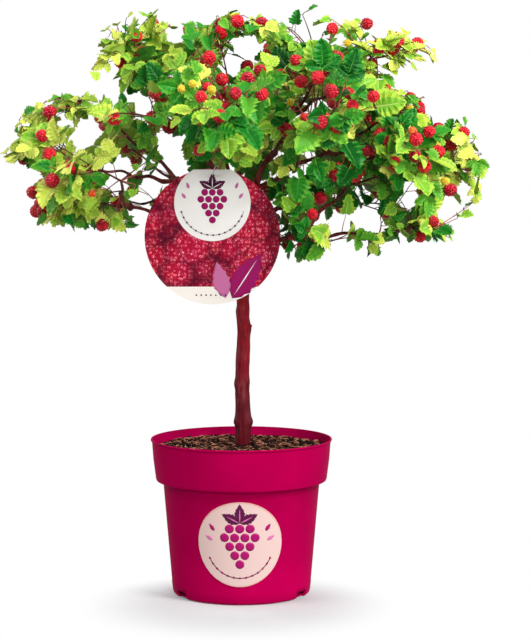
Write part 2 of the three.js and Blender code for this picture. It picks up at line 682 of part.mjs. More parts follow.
/** A mass that grows by rule from one stem: twigs turn round it by the golden angle with leaves and fruit. */
class Foliage {
  constructor(row, index, limbs) {
    this.name = row.name;
    this.seed = 101 + 7 * index;
    this.bough = limbs.get(row.bough);
    this.start = this.bough.path.getPoint(1).addScaledVector(this.bough.path.getTangent(1), CLEARANCE);
    this.end = crownPoint(row);
    this.middle = this.start.clone().lerp(this.end, STEM.middle);
  }

  grow(space) {
    this.draw = seededDraw(this.seed);
    this.space = space;
    this.taken = [];
    this.leaves = 1;
    this.twigs = 0;
    this.fruits = 0;
    const length = this.start.distanceTo(this.end);
    const knee = this.start.clone().addScaledVector(this.bough.path.getTangent(1), STEM.knee * length);
    const stem = new THREE.QuadraticBezierCurve3(this.start, knee, this.end);
    const thick = STEM.thickness * this.bough.radiusAt(1);
    const radiusAt = (share) => mix(thick, STEM.tipRadius, share);
    this.growStem(stem, radiusAt);
    for (let k = 0; k < TWIG.tries; k += 1) this.growTwig(stem, radiusAt, k);
    STEM.leafAt.forEach((share, i) => {
      this.addSideLeaf(stem.getPoint(share), stem.getTangent(share), radiusAt(share), i % 2 ? 1 : -1);
    });
    return this.solid;
  }

  drawFrom([least, most]) {
    return mix(least, most, this.draw());
  }

  /** Fuses a part on, unless it would meet the mass anywhere but at its root. */
  joins(rings, root) {
    const part = loftSolid(rings);
    const { min, max } = this.solid.intersect(part).boundingBox();
    const atRoot = root.toArray().every((at, k) => min[k] > at - ROOT_REACH && max[k] < at + ROOT_REACH);
    if (atRoot) this.solid = this.solid.add(part);
    return atRoot;
  }

  /** Whether a leaf may stay: in its space, clear of limbs and apart from the leaves before it. */
  accepts(leaf) {
    if (this.leaves >= LEAF.perMass) return false;
    const crowds = (other) => leaf.spread.some((point) => other.distanceTo(point) <= LEAF.apart);
    if (this.taken.some(crowds)) return false;
    return this.space.holds(leaf.points) && this.space.clears(leaf.points, LEAF.clear);
  }

  /** The draws of one leaf: its length, how it is tilted and how far it droops. */
  drawLeaf() {
    const length = this.drawFrom(LEAF.length);
    const tilt = new THREE.Vector3(...[0, 1, 2].map(() => this.drawFrom([-LEAF.tilt, LEAF.tilt])));
    return { length, tilt, droop: this.drawFrom([0, LEAF.droop]) };
  }

  growStem(stem, radiusAt) {
    const { length, tilt } = this.drawLeaf();
    const ahead = stem.getTangent(1);
    const facing = outwardAt(this.end).add(tilt).normalize();
    const leaf = leafShape(this.end, ahead, facing, length);
    const rings = Array.from({ length: STEM.steps + 1 }, (_, i) => {
      const share = i / STEM.steps;
      const frame = frameOf(stem.getTangent(share), facing);
      return ringOf(stem.getPoint(share), frame, radiusAt(share), STEM.sides);
    });
    this.solid = loftSolid([...rings, leaf.widest, pointRing(leaf.tip, STEM.sides)]);
    this.taken.push(...leaf.spread);
  }

  /** A twig that ends in a leaf, with a leaf on either side and a fruit. */
  growTwig(stem, radiusAt, k) {
    const share = mix(...TWIG.between, (k + this.draw()) / TWIG.tries);
    const turn = k * GOLDEN_ANGLE + this.drawFrom([-TWIG.turnJitter, TWIG.turnJitter]);
    const splay = this.drawFrom(TWIG.splay);
    const length = this.drawFrom(TWIG.length) * (1 - TWIG.shorterBy * share);
    const end = this.drawLeaf();
    const start = stem.getPoint(share);
    const tangent = stem.getTangent(share);
    const { level, raised } = acrossOf(tangent);
    const way = tangent.clone().multiplyScalar(Math.cos(splay))
      .addScaledVector(level, Math.sin(splay) * Math.cos(turn))
      .addScaledVector(raised, Math.sin(splay) * Math.sin(turn))
      .add(new THREE.Vector3(0, 0, TWIG.lift))
      .normalize();
    const thick = Math.min(TWIG.radius, TWIG.ofStem * radiusAt(share));
    const reach = CUT_BACK.twig
      .map((cut) => cut * length)
      .find((far) => this.joinsTwig(start, way, far, thick, end));
    const at = (far) => start.clone().addScaledVector(way, far * (reach ?? length));
    this.addSideLeaf(at(TWIG.leafAt[0]), way, TWIG.tipRadius, 1, reach);
    this.addSideLeaf(at(TWIG.leafAt[1]), way, TWIG.tipRadius, -1, reach);
    this.addFruit(at(TWIG.fruitAt), TWIG.tipRadius, reach);
  }

  /** Fuses on a twig that ends in a leaf, where there is room for both. */
  joinsTwig(start, way, far, thick, { length, tilt, droop }) {
    const tip = start.clone().addScaledVector(way, far);
    const ahead = way.clone().add(new THREE.Vector3(0, 0, -droop)).normalize();
    const facing = outwardAt(tip).add(tilt).normalize();
    const leaf = leafShape(tip, ahead, facing, length);
    const bare = BARE_SHARES.map((share) => start.clone().lerp(tip, share));
    const room = this.twigs < TWIG.perMass && this.accepts(leaf) && this.space.clears(bare, TWIG.clear);
    if (!room) return false;
    const frame = frameOf(way, facing);
    const rings = [
      ringOf(start, frame, thick, STEM.sides),
      ringOf(tip, frame, TWIG.tipRadius, STEM.sides),
      leaf.widest,
      pointRing(leaf.tip, STEM.sides),
    ];
    if (!this.joins(rings, start)) return false;
    this.taken.push(...leaf.spread);
    this.leaves += 1;
    this.twigs += 1;
    return true;
  }

  addSideLeaf(base, tangent, radius, side, fits = true) {
    const { length, tilt, droop } = this.drawLeaf();
    const facing = outwardAt(base).add(tilt).normalize();
    const aside = tangent.clone().cross(facing).normalize();
    const ahead = tangent.clone().multiplyScalar(Math.cos(LEAF.splay))
      .addScaledVector(aside, side * Math.sin(LEAF.splay))
      .add(new THREE.Vector3(0, 0, -droop))
      .normalize();
    if (!fits) return;
    for (const cut of CUT_BACK.leaf) {
      const leaf = leafShape(base, ahead, facing, cut * length);
      const root = ringOf(base, leaf.frame, ROOT_SHARE * radius, STEM.sides);
      const rings = [root, leaf.widest, pointRing(leaf.tip, STEM.sides)];
      if (!this.accepts(leaf) || !this.joins(rings, base)) continue;
      this.taken.push(...leaf.spread);
      this.leaves += 1;
      return;
    }
  }

  /** A fruit on a short stalk, out of the crown. */
  addFruit(start, radius, fits) {
    const way = new THREE.Vector3(...FRUIT.sway.map((range) => this.drawFrom(range)));
    const stalk = FRUIT.stalk * this.drawFrom(FRUIT.stalkSize);
    const size = this.drawFrom(FRUIT.size);
    way.addScaledVector(outwardAt(start), FRUIT.outward).normalize();
    const at = (far) => start.clone().addScaledVector(way, far);
    const berryAt = (share) => at(stalk + share * FRUIT.length * size);
    const berry = FRUIT.radius * size;
    const middle = berryAt(FRUIT.middle);
    const { level, raised } = acrossOf(way);
    const around = [level, raised, level.clone().negate(), raised.clone().negate(), way]
      .map((step) => middle.clone().addScaledVector(step, berry + FRUIT.clear));
    const free = this.taken.every((other) => other.distanceTo(middle) > FRUIT.radius + FRUIT.offLeaf);
    if (!fits || !free || this.fruits >= FRUIT.perMass) return;
    if (!this.space.holds(around) || !this.space.clears([middle], FRUIT.radius + FRUIT.clear)) return;
    const frame = frameOf(way, raised);
    const rings = [
      ringOf(start, frame, ROOT_SHARE * radius, FRUIT.sides),
      ringOf(at(stalk), frame, FRUIT.stalkRadius, FRUIT.sides),
      ringOf(berryAt(FRUIT.widest), frame, berry, FRUIT.sides),
      ringOf(berryAt(FRUIT.shoulder), frame, FRUIT.shoulderRadius * berry, FRUIT.sides),
      pointRing(berryAt(1), FRUIT.sides),
    ];
    if (!this.joins(rings, start)) return;
    this.taken.push(middle);
    this.fruits += 1;
  }
}

// ---------------------------------------------------------------- the whole plant
const plant = new THREE.Group();
plant.add(meshOf('pot', potSolid(), FINISH.pot()));
plant.add(meshOf('potting_soil', soilSolid(), FINISH.soil()));
plant.add(meshOf('pot_sticker', stickerSolid(), FINISH.sticker()));

const limbs = makeLimbs();
plant.add(meshOf('label_card', cardSolid(), FINISH.card()));
plant.add(meshOf('label_disc', discSolid(), FINISH.disc()));
plant.add(meshOf('label_tie', tieSolid(limbs.get('bough_centre_left')), FINISH.tie()));

const woodSolids = limbSolids(limbs);
for (const { name, solid } of woodSolids) {
  plant.add(meshOf(name, solid, name === 'trunk' ? FINISH.bark() : FINISH.bough()));
}

const masses = MASSES.map((row, index) => new Foliage(row, index, limbs));
for (const mass of masses) {
  const space = new Space(mass, masses.filter((other) => other !== mass), [...limbs.values()]);
  plant.add(meshOf(mass.name, cutClear(mass.grow(space), [...limbs.values()]), FINISH.leaves()));
}

export default plant;
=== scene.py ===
"""The looks of a raspberry grown as a small standard tree in a round nursery pot.

Lengths are millimetres until a piece is made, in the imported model's frame: +Z up, the label faces -Y.
"""

import logging
from collections.abc import Callable, Iterable, Sequence
from dataclasses import dataclass, field
from enum import Enum
from math import asin, cos, exp, hypot, pi, radians, sin, sqrt

import bpy
import numpy as np
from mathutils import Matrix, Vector, noise

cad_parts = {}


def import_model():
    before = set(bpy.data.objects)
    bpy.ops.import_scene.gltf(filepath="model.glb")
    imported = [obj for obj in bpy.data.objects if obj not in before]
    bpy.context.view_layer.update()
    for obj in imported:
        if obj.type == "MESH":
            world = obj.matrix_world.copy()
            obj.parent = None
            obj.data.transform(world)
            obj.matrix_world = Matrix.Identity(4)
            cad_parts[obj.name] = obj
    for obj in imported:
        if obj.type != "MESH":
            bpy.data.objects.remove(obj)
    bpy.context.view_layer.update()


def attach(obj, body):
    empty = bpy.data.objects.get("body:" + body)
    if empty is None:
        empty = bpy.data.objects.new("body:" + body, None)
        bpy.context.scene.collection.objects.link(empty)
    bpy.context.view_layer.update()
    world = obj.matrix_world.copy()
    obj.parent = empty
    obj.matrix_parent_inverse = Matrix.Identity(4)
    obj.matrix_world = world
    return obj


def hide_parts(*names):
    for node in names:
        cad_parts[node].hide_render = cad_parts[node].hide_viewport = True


log = logging.getLogger("raspberry_tree")

MM = 0.001
ROOT = "root"
GOLDEN_ANGLE = radians(137.5)

Colour = tuple[float, float, float]
Point = np.ndarray
Points = np.ndarray
Face = tuple[int, ...]
Shape = tuple[Points, list[Face]]
Material = bpy.types.Material
Object = bpy.types.Object


def vec(*parts: float) -> Point:
    """A vector of its parts."""
    return np.array(parts)


UP = vec(0.0, 0.0, 1.0)


# ---- shader writing
class Link:
    """A node's output whose operators add Math nodes to its tree."""

    def __init__(self, shader: "Shader", socket: bpy.types.NodeSocket) -> None:
        """Keeps the socket with the shader that it belongs to."""
        self.shader = shader
        self.socket = socket

    def _math(self, operation: str, *values: "Link | float") -> "Link":
        """Adds one Math node."""
        return self.shader.node("ShaderNodeMath", {"operation": operation}, *values)

    def __add__(self, other: "Link | float") -> "Link":
        """The sum."""
        return self._math("ADD", self, other)

    __radd__ = __add__

    def __mul__(self, other: "Link | float") -> "Link":
        """The product."""
        return self._math("MULTIPLY", self, other)

    __rmul__ = __mul__

    def __sub__(self, other: "Link | float") -> "Link":
        """The difference."""
        return self._math("SUBTRACT", self, other)

    def __rsub__(self, other: float) -> "Link":
        """The difference from a number."""
        return self._math("SUBTRACT", other, self)

    def rise(self, low: float, high: float) -> "Link":
        """A smooth step from 0 at low to 1 at high, or a fall where low is the higher one.

        Args:
            low: The value that gives 0.
            high: The value that gives 1.

        Returns:
            The step.
        """
        settings = {"interpolation_type": "SMOOTHSTEP"}
        return self.shader.node("ShaderNodeMapRange", settings, self, low, high, 0.0, 1.0)


class Shader:
    """A material's nodes, written one after another."""

    def __init__(self, name: str) -> None:
        """Starts an empty material with one principled surface.

        Args:
            name: Its name.
        """
        self.material = bpy.data.materials.new(name)
        self.material.use_nodes = True
        self.tree = self.material.node_tree
        self.tree.nodes.clear()
        self.surface = self.tree.nodes.new("ShaderNodeBsdfPrincipled")
        output = self.tree.nodes.new("ShaderNodeOutputMaterial")
        self.tree.links.new(self.surface.outputs[0], output.inputs[0])

    def node(
        self, kind: str, settings: dict, *values: object, output: int | str = 0, **named: object
    ) -> Link:
        """Adds a node.

        Args:
            kind: The node's type.
            settings: Its properties, set before its sockets.
            *values: What its inputs hold, in order; None leaves one as it is.
            output: The output to give back.
            **named: What its inputs hold, by name.

        Returns:
            The node's output.
        """
        made = self.tree.nodes.new(kind)
        for key, value in settings.items():
            setattr(made, key, value)
        for key, value in [*enumerate(values), *named.items()]:
            if value is not None:
                self._feed(made.inputs[key], value)
        return Link(self, made.outputs[output])

    def _feed(self, socket: bpy.types.NodeSocket, value: object) -> None:
        """Links a socket, or sets its value.

        Args:
            socket: The socket.
            value: A link or a value.
        """
        if isinstance(value, Link):
            self.tree.links.new(value.socket, socket)
        elif isinstance(value, tuple) and len(value) == 3 and socket.type == "RGBA":
            socket.default_value = (*value, 1.0)
        else:
            socket.default_value = value

    def place(self) -> Link:
        """The place on the piece, in metres."""
        return self.node("ShaderNodeTexCoord", {}, output="Object")

    def stretched(self, vector: Link, factors: tuple[float, float, float]) -> Link:
        """A place scaled by factors along X, Y and Z."""
        return self.node("ShaderNodeVectorMath", {"operation": "MULTIPLY"}, vector, factors)

    def away(self, vector: Link, middle: tuple[float, float, float]) -> Link:
        """How far a place is from a middle that is given in millimetres."""
        point = tuple(value * MM for value in middle)
        return self.node("ShaderNodeVectorMath", {"operation": "DISTANCE"}, vector, point, output="Value")

    def part(self, vector: Link, axis: str) -> Link:
        """One of a place's three numbers."""
        return self.node("ShaderNodeSeparateXYZ", {}, vector, output=axis)

    def noise(self, vector: Link, scale: float, detail: float = 4.0, roughness: float = 0.55) -> Link:
        """Noise from 0 to 1 at a scale per metre."""
        inputs = {"Scale": scale, "Detail": detail, "Roughness": roughness}
        return self.node("ShaderNodeTexNoise", {}, vector, output=0, **inputs)

    def cells(self, vector: Link, scale: float, randomness: float, **settings: object) -> Link:
        """The distance in Voronoi cells at a scale per metre."""
        inputs = {"Scale": scale, "Randomness": randomness}
        return self.node("ShaderNodeTexVoronoi", settings, vector, output="Distance", **inputs)

    def blend(self, share: Link | float, first: Link | Colour, second: Link | Colour) -> Link:
        """A colour from the first to the second by a share.

        Args:
            share: The share of the second colour.
            first: The colour at 0.
            second: The colour at 1.

        Returns:
            The colour's link.
        """
        made = self.tree.nodes.new("ShaderNodeMix")
        made.data_type = "RGBA"
        for index, value in ((0, share), (6, first), (7, second)):
            self._feed(made.inputs[index], value)
        return Link(self, made.outputs[2])

    def bump(self, height: Link, distance_mm: float, strength: float = 1.0) -> Link:
        """A normal from a height that is a share of a distance."""
        inputs = {"Height": height, "Distance": distance_mm * MM, "Strength": strength}
        return self.node("ShaderNodeBump", {}, **inputs)

    def finish(self, **inputs: object) -> Material:
        """Feeds the surface's sockets, named with _ for a space, and gives the material back.

        Args:
            **inputs: The sockets' links or values.

        Returns:
            The material.
        """
        for key, value in inputs.items():
            self._feed(self.surface.inputs[key.replace("_", " ")], value)
        return self.material


def tone(red: int, green: int, blue: int) -> Colour:
    """A linear colour from display values of 0 to 255."""
    return tuple(((v / 255 + 0.055) / 1.055) ** 2.4 if v > 10 else v / 3295 for v in (red, green, blue))


# ---- finishes
@dataclass(frozen=True)
class PlainFinish:
    """A surface of one colour, such as one green of the leaves."""

    name: str
    colour: Colour
    roughness: float = 0.5
    coat: float = 0.0
    specular: float = 0.35

    def material(self) -> Material:
        """Makes the finish's material.

        Returns:
            The material.
        """
        shader = Shader(self.name)
        inputs = {"Base_Color": self.colour, "Roughness": self.roughness, "Coat_Weight": self.coat}
        return shader.finish(**inputs, Coat_Roughness=0.25, Specular_IOR_Level=self.specular)


@dataclass(frozen=True)
class PlasticFinish:
    """Moulded nursery-pot plastic: satin, faintly mottled and scuffed."""

    name: str
    colour: Colour
    deep: Colour
    roughness: float = 0.36

    def material(self) -> Material:
        """Makes the finish's material.

        Returns:
            The material.
        """
        shader = Shader(self.name)
        place = shader.place()
        mottle = shader.noise(place, 18.0)
        grain = shader.noise(place, 1400.0, 2.0)
        scuffs = shader.noise(shader.stretched(place, (1.0, 1.0, 9.0)), 60.0, 6.0, 0.7).rise(0.62, 0.8)
        return shader.finish(
            Base_Color=shader.blend(mottle.rise(0.3, 0.75), self.deep, self.colour),
            Roughness=mottle * 0.12 + scuffs * 0.12 + (self.roughness - 0.06),
            Normal=shader.bump(grain * 0.5 + mottle * 0.5, 0.05, 0.25),
            IOR=1.04,
        )


@dataclass(frozen=True)
class BarkFinish:
    """Bark with ridges that run up the wood, paler on their crests."""

    name: str
    hollow: Colour
    body: Colour
    crest: Colour
    relief: float
    tint: Colour
    tint_place: tuple[float, float, float]
    tint_reach: tuple[float, float]
    bare_from: float = -4.0

    def material(self) -> Material:
        """Makes the finish's material.

        Returns:
            The material.
        """
        shader = Shader(self.name)
        place = shader.place()
        ridges = shader.noise(shader.stretched(place, (1.0, 1.0, 0.16)), 420.0, 6.0, 0.65)
        patches = shader.noise(shader.stretched(place, (1.0, 1.0, 0.3)), 90.0, 3.0)
        fine = shader.noise(place, 2600.0, 2.0)
        away = shader.away(place, self.tint_place)
        near, far = self.tint_reach
        bare = away.rise(near * self.bare_from * MM, far * MM)
        body = shader.blend(away.rise(near * MM, far * MM), self.tint, self.body)
        wood = shader.blend(ridges.rise(0.32, 0.52), self.hollow, body)
        height = ridges * 0.75 + fine * 0.25
        worn = patches.rise(0.46, 0.62) * ridges.rise(0.38, 0.58) * bare
        return shader.finish(
            Base_Color=shader.blend(worn, wood, self.crest),
            Roughness=0.8 - ridges * 0.35,
            Normal=shader.bump(height, self.relief, 0.9),
            Specular_IOR_Level=0.3,
        )


@dataclass(frozen=True)
class SoilFinish:
    """Damp peat: dark, with browner crumbs."""

    name: str
    dark: Colour
    light: Colour

    def material(self) -> Material:
        """Makes the finish's material.

        Returns:
            The material.
        """
        shader = Shader(self.name)
        place = shader.place()
        crumbs = shader.noise(place, 520.0, 8.0, 0.7)
        patches = shader.noise(place, 60.0, 3.0)
        return shader.finish(
            Base_Color=shader.blend((crumbs * 0.7 + patches * 0.3).rise(0.38, 0.66), self.dark, self.light),
            Roughness=0.95 - crumbs * 0.15,
            Specular_IOR_Level=0.1,
            Normal=shader.bump(crumbs, 1.2, 0.9),
        )


@dataclass(frozen=True)
class PaperFinish:
    """Uncoated paper with flecks of fibre, pinker towards its rim."""

    name: str
    paper: Colour
    fleck: Colour
    rim: Colour
    centre: tuple[float, float, float]
    radius: float

    def material(self) -> Material:
        """Makes the finish's material.

        Returns:
            The material.
        """
        shader = Shader(self.name)
        place = shader.place()
        reach = shader.away(shader.stretched(place, (1.0, 0.0, 1.0)), self.centre)
        flecks = shader.noise(shader.stretched(place, (1.0, 1.0, 2.2)), 900.0, 3.0, 0.6).rise(0.6, 0.72)
        fibres = shader.noise(shader.stretched(place, (3.0, 3.0, 1.0)), 500.0, 3.0, 0.6).rise(0.64, 0.74)
        sheet = shader.blend(flecks * 0.5 + fibres * 0.3, self.paper, self.fleck)
        band = reach.rise(self.radius * 0.955 * MM, self.radius * 0.985 * MM)
        return shader.finish(
            Base_Color=shader.blend(band * 0.85, sheet, self.rim),
            Roughness=0.62 - flecks * 0.1,
            Normal=shader.bump(flecks * 0.5 + fibres * 0.5, 0.06, 0.4),
        )


@dataclass(frozen=True)
class FruitPrintFinish:
    """Glossy card printed all over with rows of round berries in crimsons."""

    name: str
    ground: Colour
    deep: Colour
    dusky: Colour
    ripe: Colour
    shine: Colour
    foot: Colour
    foot_height: float
    berries: float = 31.0
    drupelets: float = 230.0

    def material(self) -> Material:
        """Makes the finish's material.

        Returns:
            The material.
        """
        shader = Shader(self.name)
        place = shader.place()
        flat = shader.stretched(place, (1.0, 0.0, 1.0))
        middle = shader.cells(flat, self.berries, 0.7)
        gap = shader.cells(flat, self.berries, 0.7, feature="DISTANCE_TO_EDGE").rise(-0.06, 0.06)
        rounded = gap * middle.rise(0.9, 0.46)
        drupelet = shader.cells(flat, self.drupelets, 0.6)
        hairs = shader.noise(shader.stretched(flat, (1.0, 0.0, 0.34)), 1250.0, 2.0, 0.6).rise(0.57, 0.63)
        bright = shader.noise(flat, 24.0, 1.0).rise(0.4, 0.62)
        ripe = shader.blend(bright, self.dusky, self.ripe)
        body = shader.blend(drupelet.rise(0.62, 0.16), self.deep, ripe)
        shaded = shader.blend(rounded, self.ground, body)
        lit = shader.blend(hairs * drupelet.rise(0.66, 0.3) * rounded, shaded, self.shine)
        foot = shader.part(place, "Z").rise((self.foot_height + 0.2) * MM, (self.foot_height - 0.2) * MM)
        return shader.finish(
            Base_Color=shader.blend(foot, lit, self.foot),
            Roughness=0.4 + hairs * 0.05,
            Specular_IOR_Level=0.15,
            Normal=shader.bump(shader.noise(place, 700.0, 2.0), 0.03, 0.3),
        )


@dataclass(frozen=True)
class CardFinish:
    """Smooth white card."""

    name: str
    colour: Colour
    fleck: Colour

    def material(self) -> Material:
        """Makes the finish's material.

        Returns:
            The material.
        """
        shader = Shader(self.name)
        grain = shader.noise(shader.place(), 1500.0, 3.0)
        return shader.finish(
            Base_Color=shader.blend(grain.rise(0.55, 0.75) * 0.4, self.colour, self.fleck),
            Roughness=0.4 + grain * 0.12,
            Normal=shader.bump(grain, 0.03, 0.3),
        )


POT_PLASTIC = PlasticFinish("pot_plastic", tone(172, 0, 71), tone(160, 0, 65))
TIE_PLASTIC = PlasticFinish("tie_plastic", tone(240, 240, 232), tone(226, 226, 218), 0.42)
TRUNK_BARK = BarkFinish(
    "trunk_bark", tone(66, 2, 12), tone(130, 8, 24), tone(138, 66, 66),
    relief=0.55, tint=tone(86, 0, 18), tint_place=(0, 0, 185), tint_reach=(40, 130), bare_from=0.2,
)
BOUGH_BARK = BarkFinish(
    "bough_bark", tone(24, 8, 8), tone(84, 30, 26), tone(128, 74, 60),
    relief=0.45, tint=tone(152, 44, 44), tint_place=(3, 0, 455), tint_reach=(30, 150),
)
TWIG_BARK = PlainFinish("twig_bark", tone(92, 42, 34), 0.6)
SHOOT_RED = PlainFinish("shoot_red", tone(168, 86, 72), 0.5)
SHOOT_GREEN = PlainFinish("shoot_green", tone(148, 172, 70), 0.5)
PEAT = SoilFinish("peat", tone(6, 4, 4), tone(50, 28, 20))
CRUMB = SoilFinish("peat_crumb", tone(34, 18, 13), tone(118, 74, 54))
FIBRE = PlainFinish("peat_fibre", tone(196, 130, 104), 0.85)


class Green(Enum):
    """The greens of the leaves, by display colour."""

    LEMON = (214, 222, 100)
    LIME = (190, 208, 78)
    SPRING = (156, 194, 56)
    GRASS = (116, 174, 46)
    LEAF = (78, 150, 36)
    WOOD = (38, 130, 28)
    DEEP = (8, 104, 22)
    SHADE = (0, 80, 15)
    PALE_VEIN = (206, 216, 136)
    SOFT_VEIN = (82, 152, 50)
    PALE_BACK = (150, 184, 70)
    GREY_BACK = (70, 136, 46)


GREENS = [
    PlainFinish(f"leaf_{green.name.lower()}", tone(*green.value), 0.5, specular=0.25) for green in Green
]
GREEN_INDEX = {green: index for index, green in enumerate(Green)}
# From light to dark greens, for young to old leaves and for painted light and shade in the crown: the rib,
# the blade by the rib, the blade's outer part and the back.
LEAF_COLOURS = [
    (Green.PALE_VEIN, Green.LEMON, Green.LEMON, Green.PALE_BACK),
    (Green.PALE_VEIN, Green.LIME, Green.LEMON, Green.PALE_BACK),
    (Green.PALE_VEIN, Green.SPRING, Green.LIME, Green.PALE_BACK),
    (Green.PALE_VEIN, Green.GRASS, Green.SPRING, Green.PALE_BACK),
    (Green.SOFT_VEIN, Green.LEAF, Green.GRASS, Green.GREY_BACK),
    (Green.SOFT_VEIN, Green.WOOD, Green.LEAF, Green.GREY_BACK),
    (Green.SOFT_VEIN, Green.DEEP, Green.WOOD, Green.GREY_BACK),
    (Green.SOFT_VEIN, Green.SHADE, Green.DEEP, Green.GREY_BACK),
]


# ---- meshes
class Draft:
    """Shapes in millimetres that are joined into one piece."""

    def __init__(self) -> None:
        """Starts empty."""
        self.points: list[Points] = []
        self.faces: list[Face] = []
        self.finishes: list[int] = []
        self.count = 0

    def add(self, points: Points, faces: Sequence[Face], finish: int | Sequence[int] = 0) -> None:
        """Adds a shape.

        Args:
            points: Its corners, one row each.
            faces: The corners of each face.
            finish: The place in the piece's finishes of all its faces, or of each.
        """
        start = self.count
        self.points.append(np.asarray(points, float))
        self.faces.extend(tuple(corner + start for corner in face) for face in faces)
        self.finishes.extend([finish] * len(faces) if isinstance(finish, int) else finish)
        self.count += len(points)

    def piece(self, name: str, finishes: Sequence, smooth_angle: float = 180.0) -> Object:
        """Makes the object.

        Args:
            name: The piece's name.
            finishes: Its finishes, one material each.
            smooth_angle: Edges sharper than this, in degrees, stay sharp.

        Returns:
            The object, in metres.
        """
        mesh = bpy.data.meshes.new(name)
        mesh.from_pydata((np.vstack(self.points) * MM).tolist(), [], self.faces)
        for finish in finishes:
            mesh.materials.append(shared_material(finish))
        mesh.polygons.foreach_set("material_index", self.finishes)
        mesh.shade_smooth()
        if smooth_angle < 180.0:
            mesh.set_sharp_from_angle(angle=radians(smooth_angle))
        mesh.update()
        made = bpy.data.objects.new(name, mesh)
        bpy.context.scene.collection.objects.link(made)
        log.info("%s: %d triangles", name, sum(len(face) - 2 for face in self.faces))
        return made


_materials: dict[str, Material] = {}


def shared_material(finish: object) -> Material:
    """The one material of a finish.

    Args:
        finish: The finish.

    Returns:
        Its material, which is made once.
    """
    if finish.name not in _materials:
        _materials[finish.name] = finish.material()
    return _materials[finish.name]


def settle(piece: Object, slot: str, *nodes: str) -> Object:
    """Lets a piece ride on the part and hides the nodes that it stands for.

    Args:
        piece: The piece.
        slot: Not used.
        *nodes: The nodes that it replaces.

    Returns:
        The piece.
    """
    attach(piece, ROOT)
    if nodes:
        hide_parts(*nodes)
    return piece


def unit(vector: Point) -> Point:
    """The vector at length 1."""
    return vector / sqrt(float(vector @ vector))


def mix(first: float, second: float, share: float) -> float:
    """The value at a share of the way from the first to the second."""
    return first + (second - first) * share


def along(pairs: Sequence[tuple[float, float]], place: float) -> float:
    """Linear interpolation in a list of places and values."""
    return float(np.interp(place, [at for at, _ in pairs], [value for _, value in pairs]))


def frame_of(ahead: Point, facing: Point) -> tuple[Point, Point]:
    """The right and the up across a way ahead, from the one that should face up."""
    up = unit(facing - ahead * float(facing @ ahead))
    return np.cross(ahead, up), up


def across_of(tangent: Point) -> tuple[Point, Point]:
    """Two directions square to a tangent: one level, one as near to upright as it can be.

    Args:
        tangent: The direction.

    Returns:
        The level direction and the raised one.
    """
    level = vec(-tangent[1], tangent[0], 0.0)
    level = unit(level) if level @ level > 1e-6 else vec(0.0, 1.0, 0.0)
    return level, -np.cross(tangent, level)


def square_to(tangent: Point, turn: float) -> Point:
    """The direction square to a tangent, at a turn round it."""
    level, raised = across_of(tangent)
    return level * cos(turn) + raised * sin(turn)


def direction(heading: float, slope: float) -> Point:
    """The direction of a heading and a slope in degrees."""
    turn, rise = radians(heading), radians(slope)
    return vec(cos(turn) * cos(rise), sin(turn) * cos(rise), sin(rise))


def skin(rings: Sequence[Points], closed: bool = False) -> list[Face]:
    """The faces from each ring of corners to the next, and from the last to the first where it is closed.

    Args:
        rings: The rings of corners, each with as many.
        closed: Whether the last ring joins the first.

    Returns:
        The faces.
    """
    sides = len(rings[0])
    count = len(rings) * sides
    return [
        (ring + k, ring + after, (ring + sides + after) % count, (ring + sides + k) % count)
        for ring in range(0, count if closed else count - sides, sides)
        for k, after in zip(range(sides), (*range(1, sides), 0))
    ]


def capped(rings: Sequence[Points]) -> Shape:
    """A closed solid of rings of corners, with a flat face at either end.

    Args:
        rings: The rings of corners, each with as many.

    Returns:
        Its corners and faces.
    """
    sides, count = len(rings[0]), len(rings) * len(rings[0])
    ends = [tuple(range(sides))[::-1], tuple(range(count - sides, count))]
    return np.vstack(rings), skin(rings) + ends


def domed(rings: Sequence[Points], low: Point, high: Point) -> Shape:
    """A closed solid of rings of corners, with a fan of faces to a point at either end.

    Args:
        rings: The rings of corners, each with as many.
        low: The point under the first ring.
        high: The point over the last ring.

    Returns:
        Its corners and faces.
    """
    sides, count = len(rings[0]), len(rings) * len(rings[0])
    last = count - sides
    faces = skin(rings) + [((k + 1) % sides, k, count) for k in range(sides)]
    faces += [(last + k, last + (k + 1) % sides, count + 1) for k in range(sides)]
    return np.vstack([*rings, low, high]), faces


def round_the_clock(count: int) -> np.ndarray:
    """Even turns of a full circle, in radians."""
    return np.arange(count) * 2 * pi / count


def tube(path: Points, radii: Sequence[float], sides: int) -> Shape:
    """A closed tube along a path.

    Args:
        path: The middle of each ring, one row each.
        radii: The radius at each.
        sides: How many sides it has.

    Returns:
        Its corners and faces.
    """
    rings = []
    side = across_of(unit(path[-1] - path[0]))[0]
    turns = round_the_clock(sides)
    for middle, way, radius in zip(path, np.gradient(path, axis=0), radii):
        aside, side = frame_of(unit(way), side)
        rings.append(middle + radius * (np.outer(np.cos(turns), side) + np.outer(np.sin(turns), aside)))
    return capped(rings)


def lathe(profile: Sequence[tuple[float, float]], segments: int) -> Shape:
    """A closed solid turned round Z.

    Args:
        profile: Radius and height from the axis below, round the outside, to the axis above.
        segments: How many faces go round.

    Returns:
        Its corners and faces.
    """
    turns = round_the_clock(segments)
    ring = np.column_stack((np.cos(turns), np.sin(turns), np.zeros(segments)))
    rings = [radius * ring + UP * height for radius, height in profile[1:-1]]
    return domed(rings, vec(0.0, 0.0, profile[0][1]), vec(0.0, 0.0, profile[-1][1]))


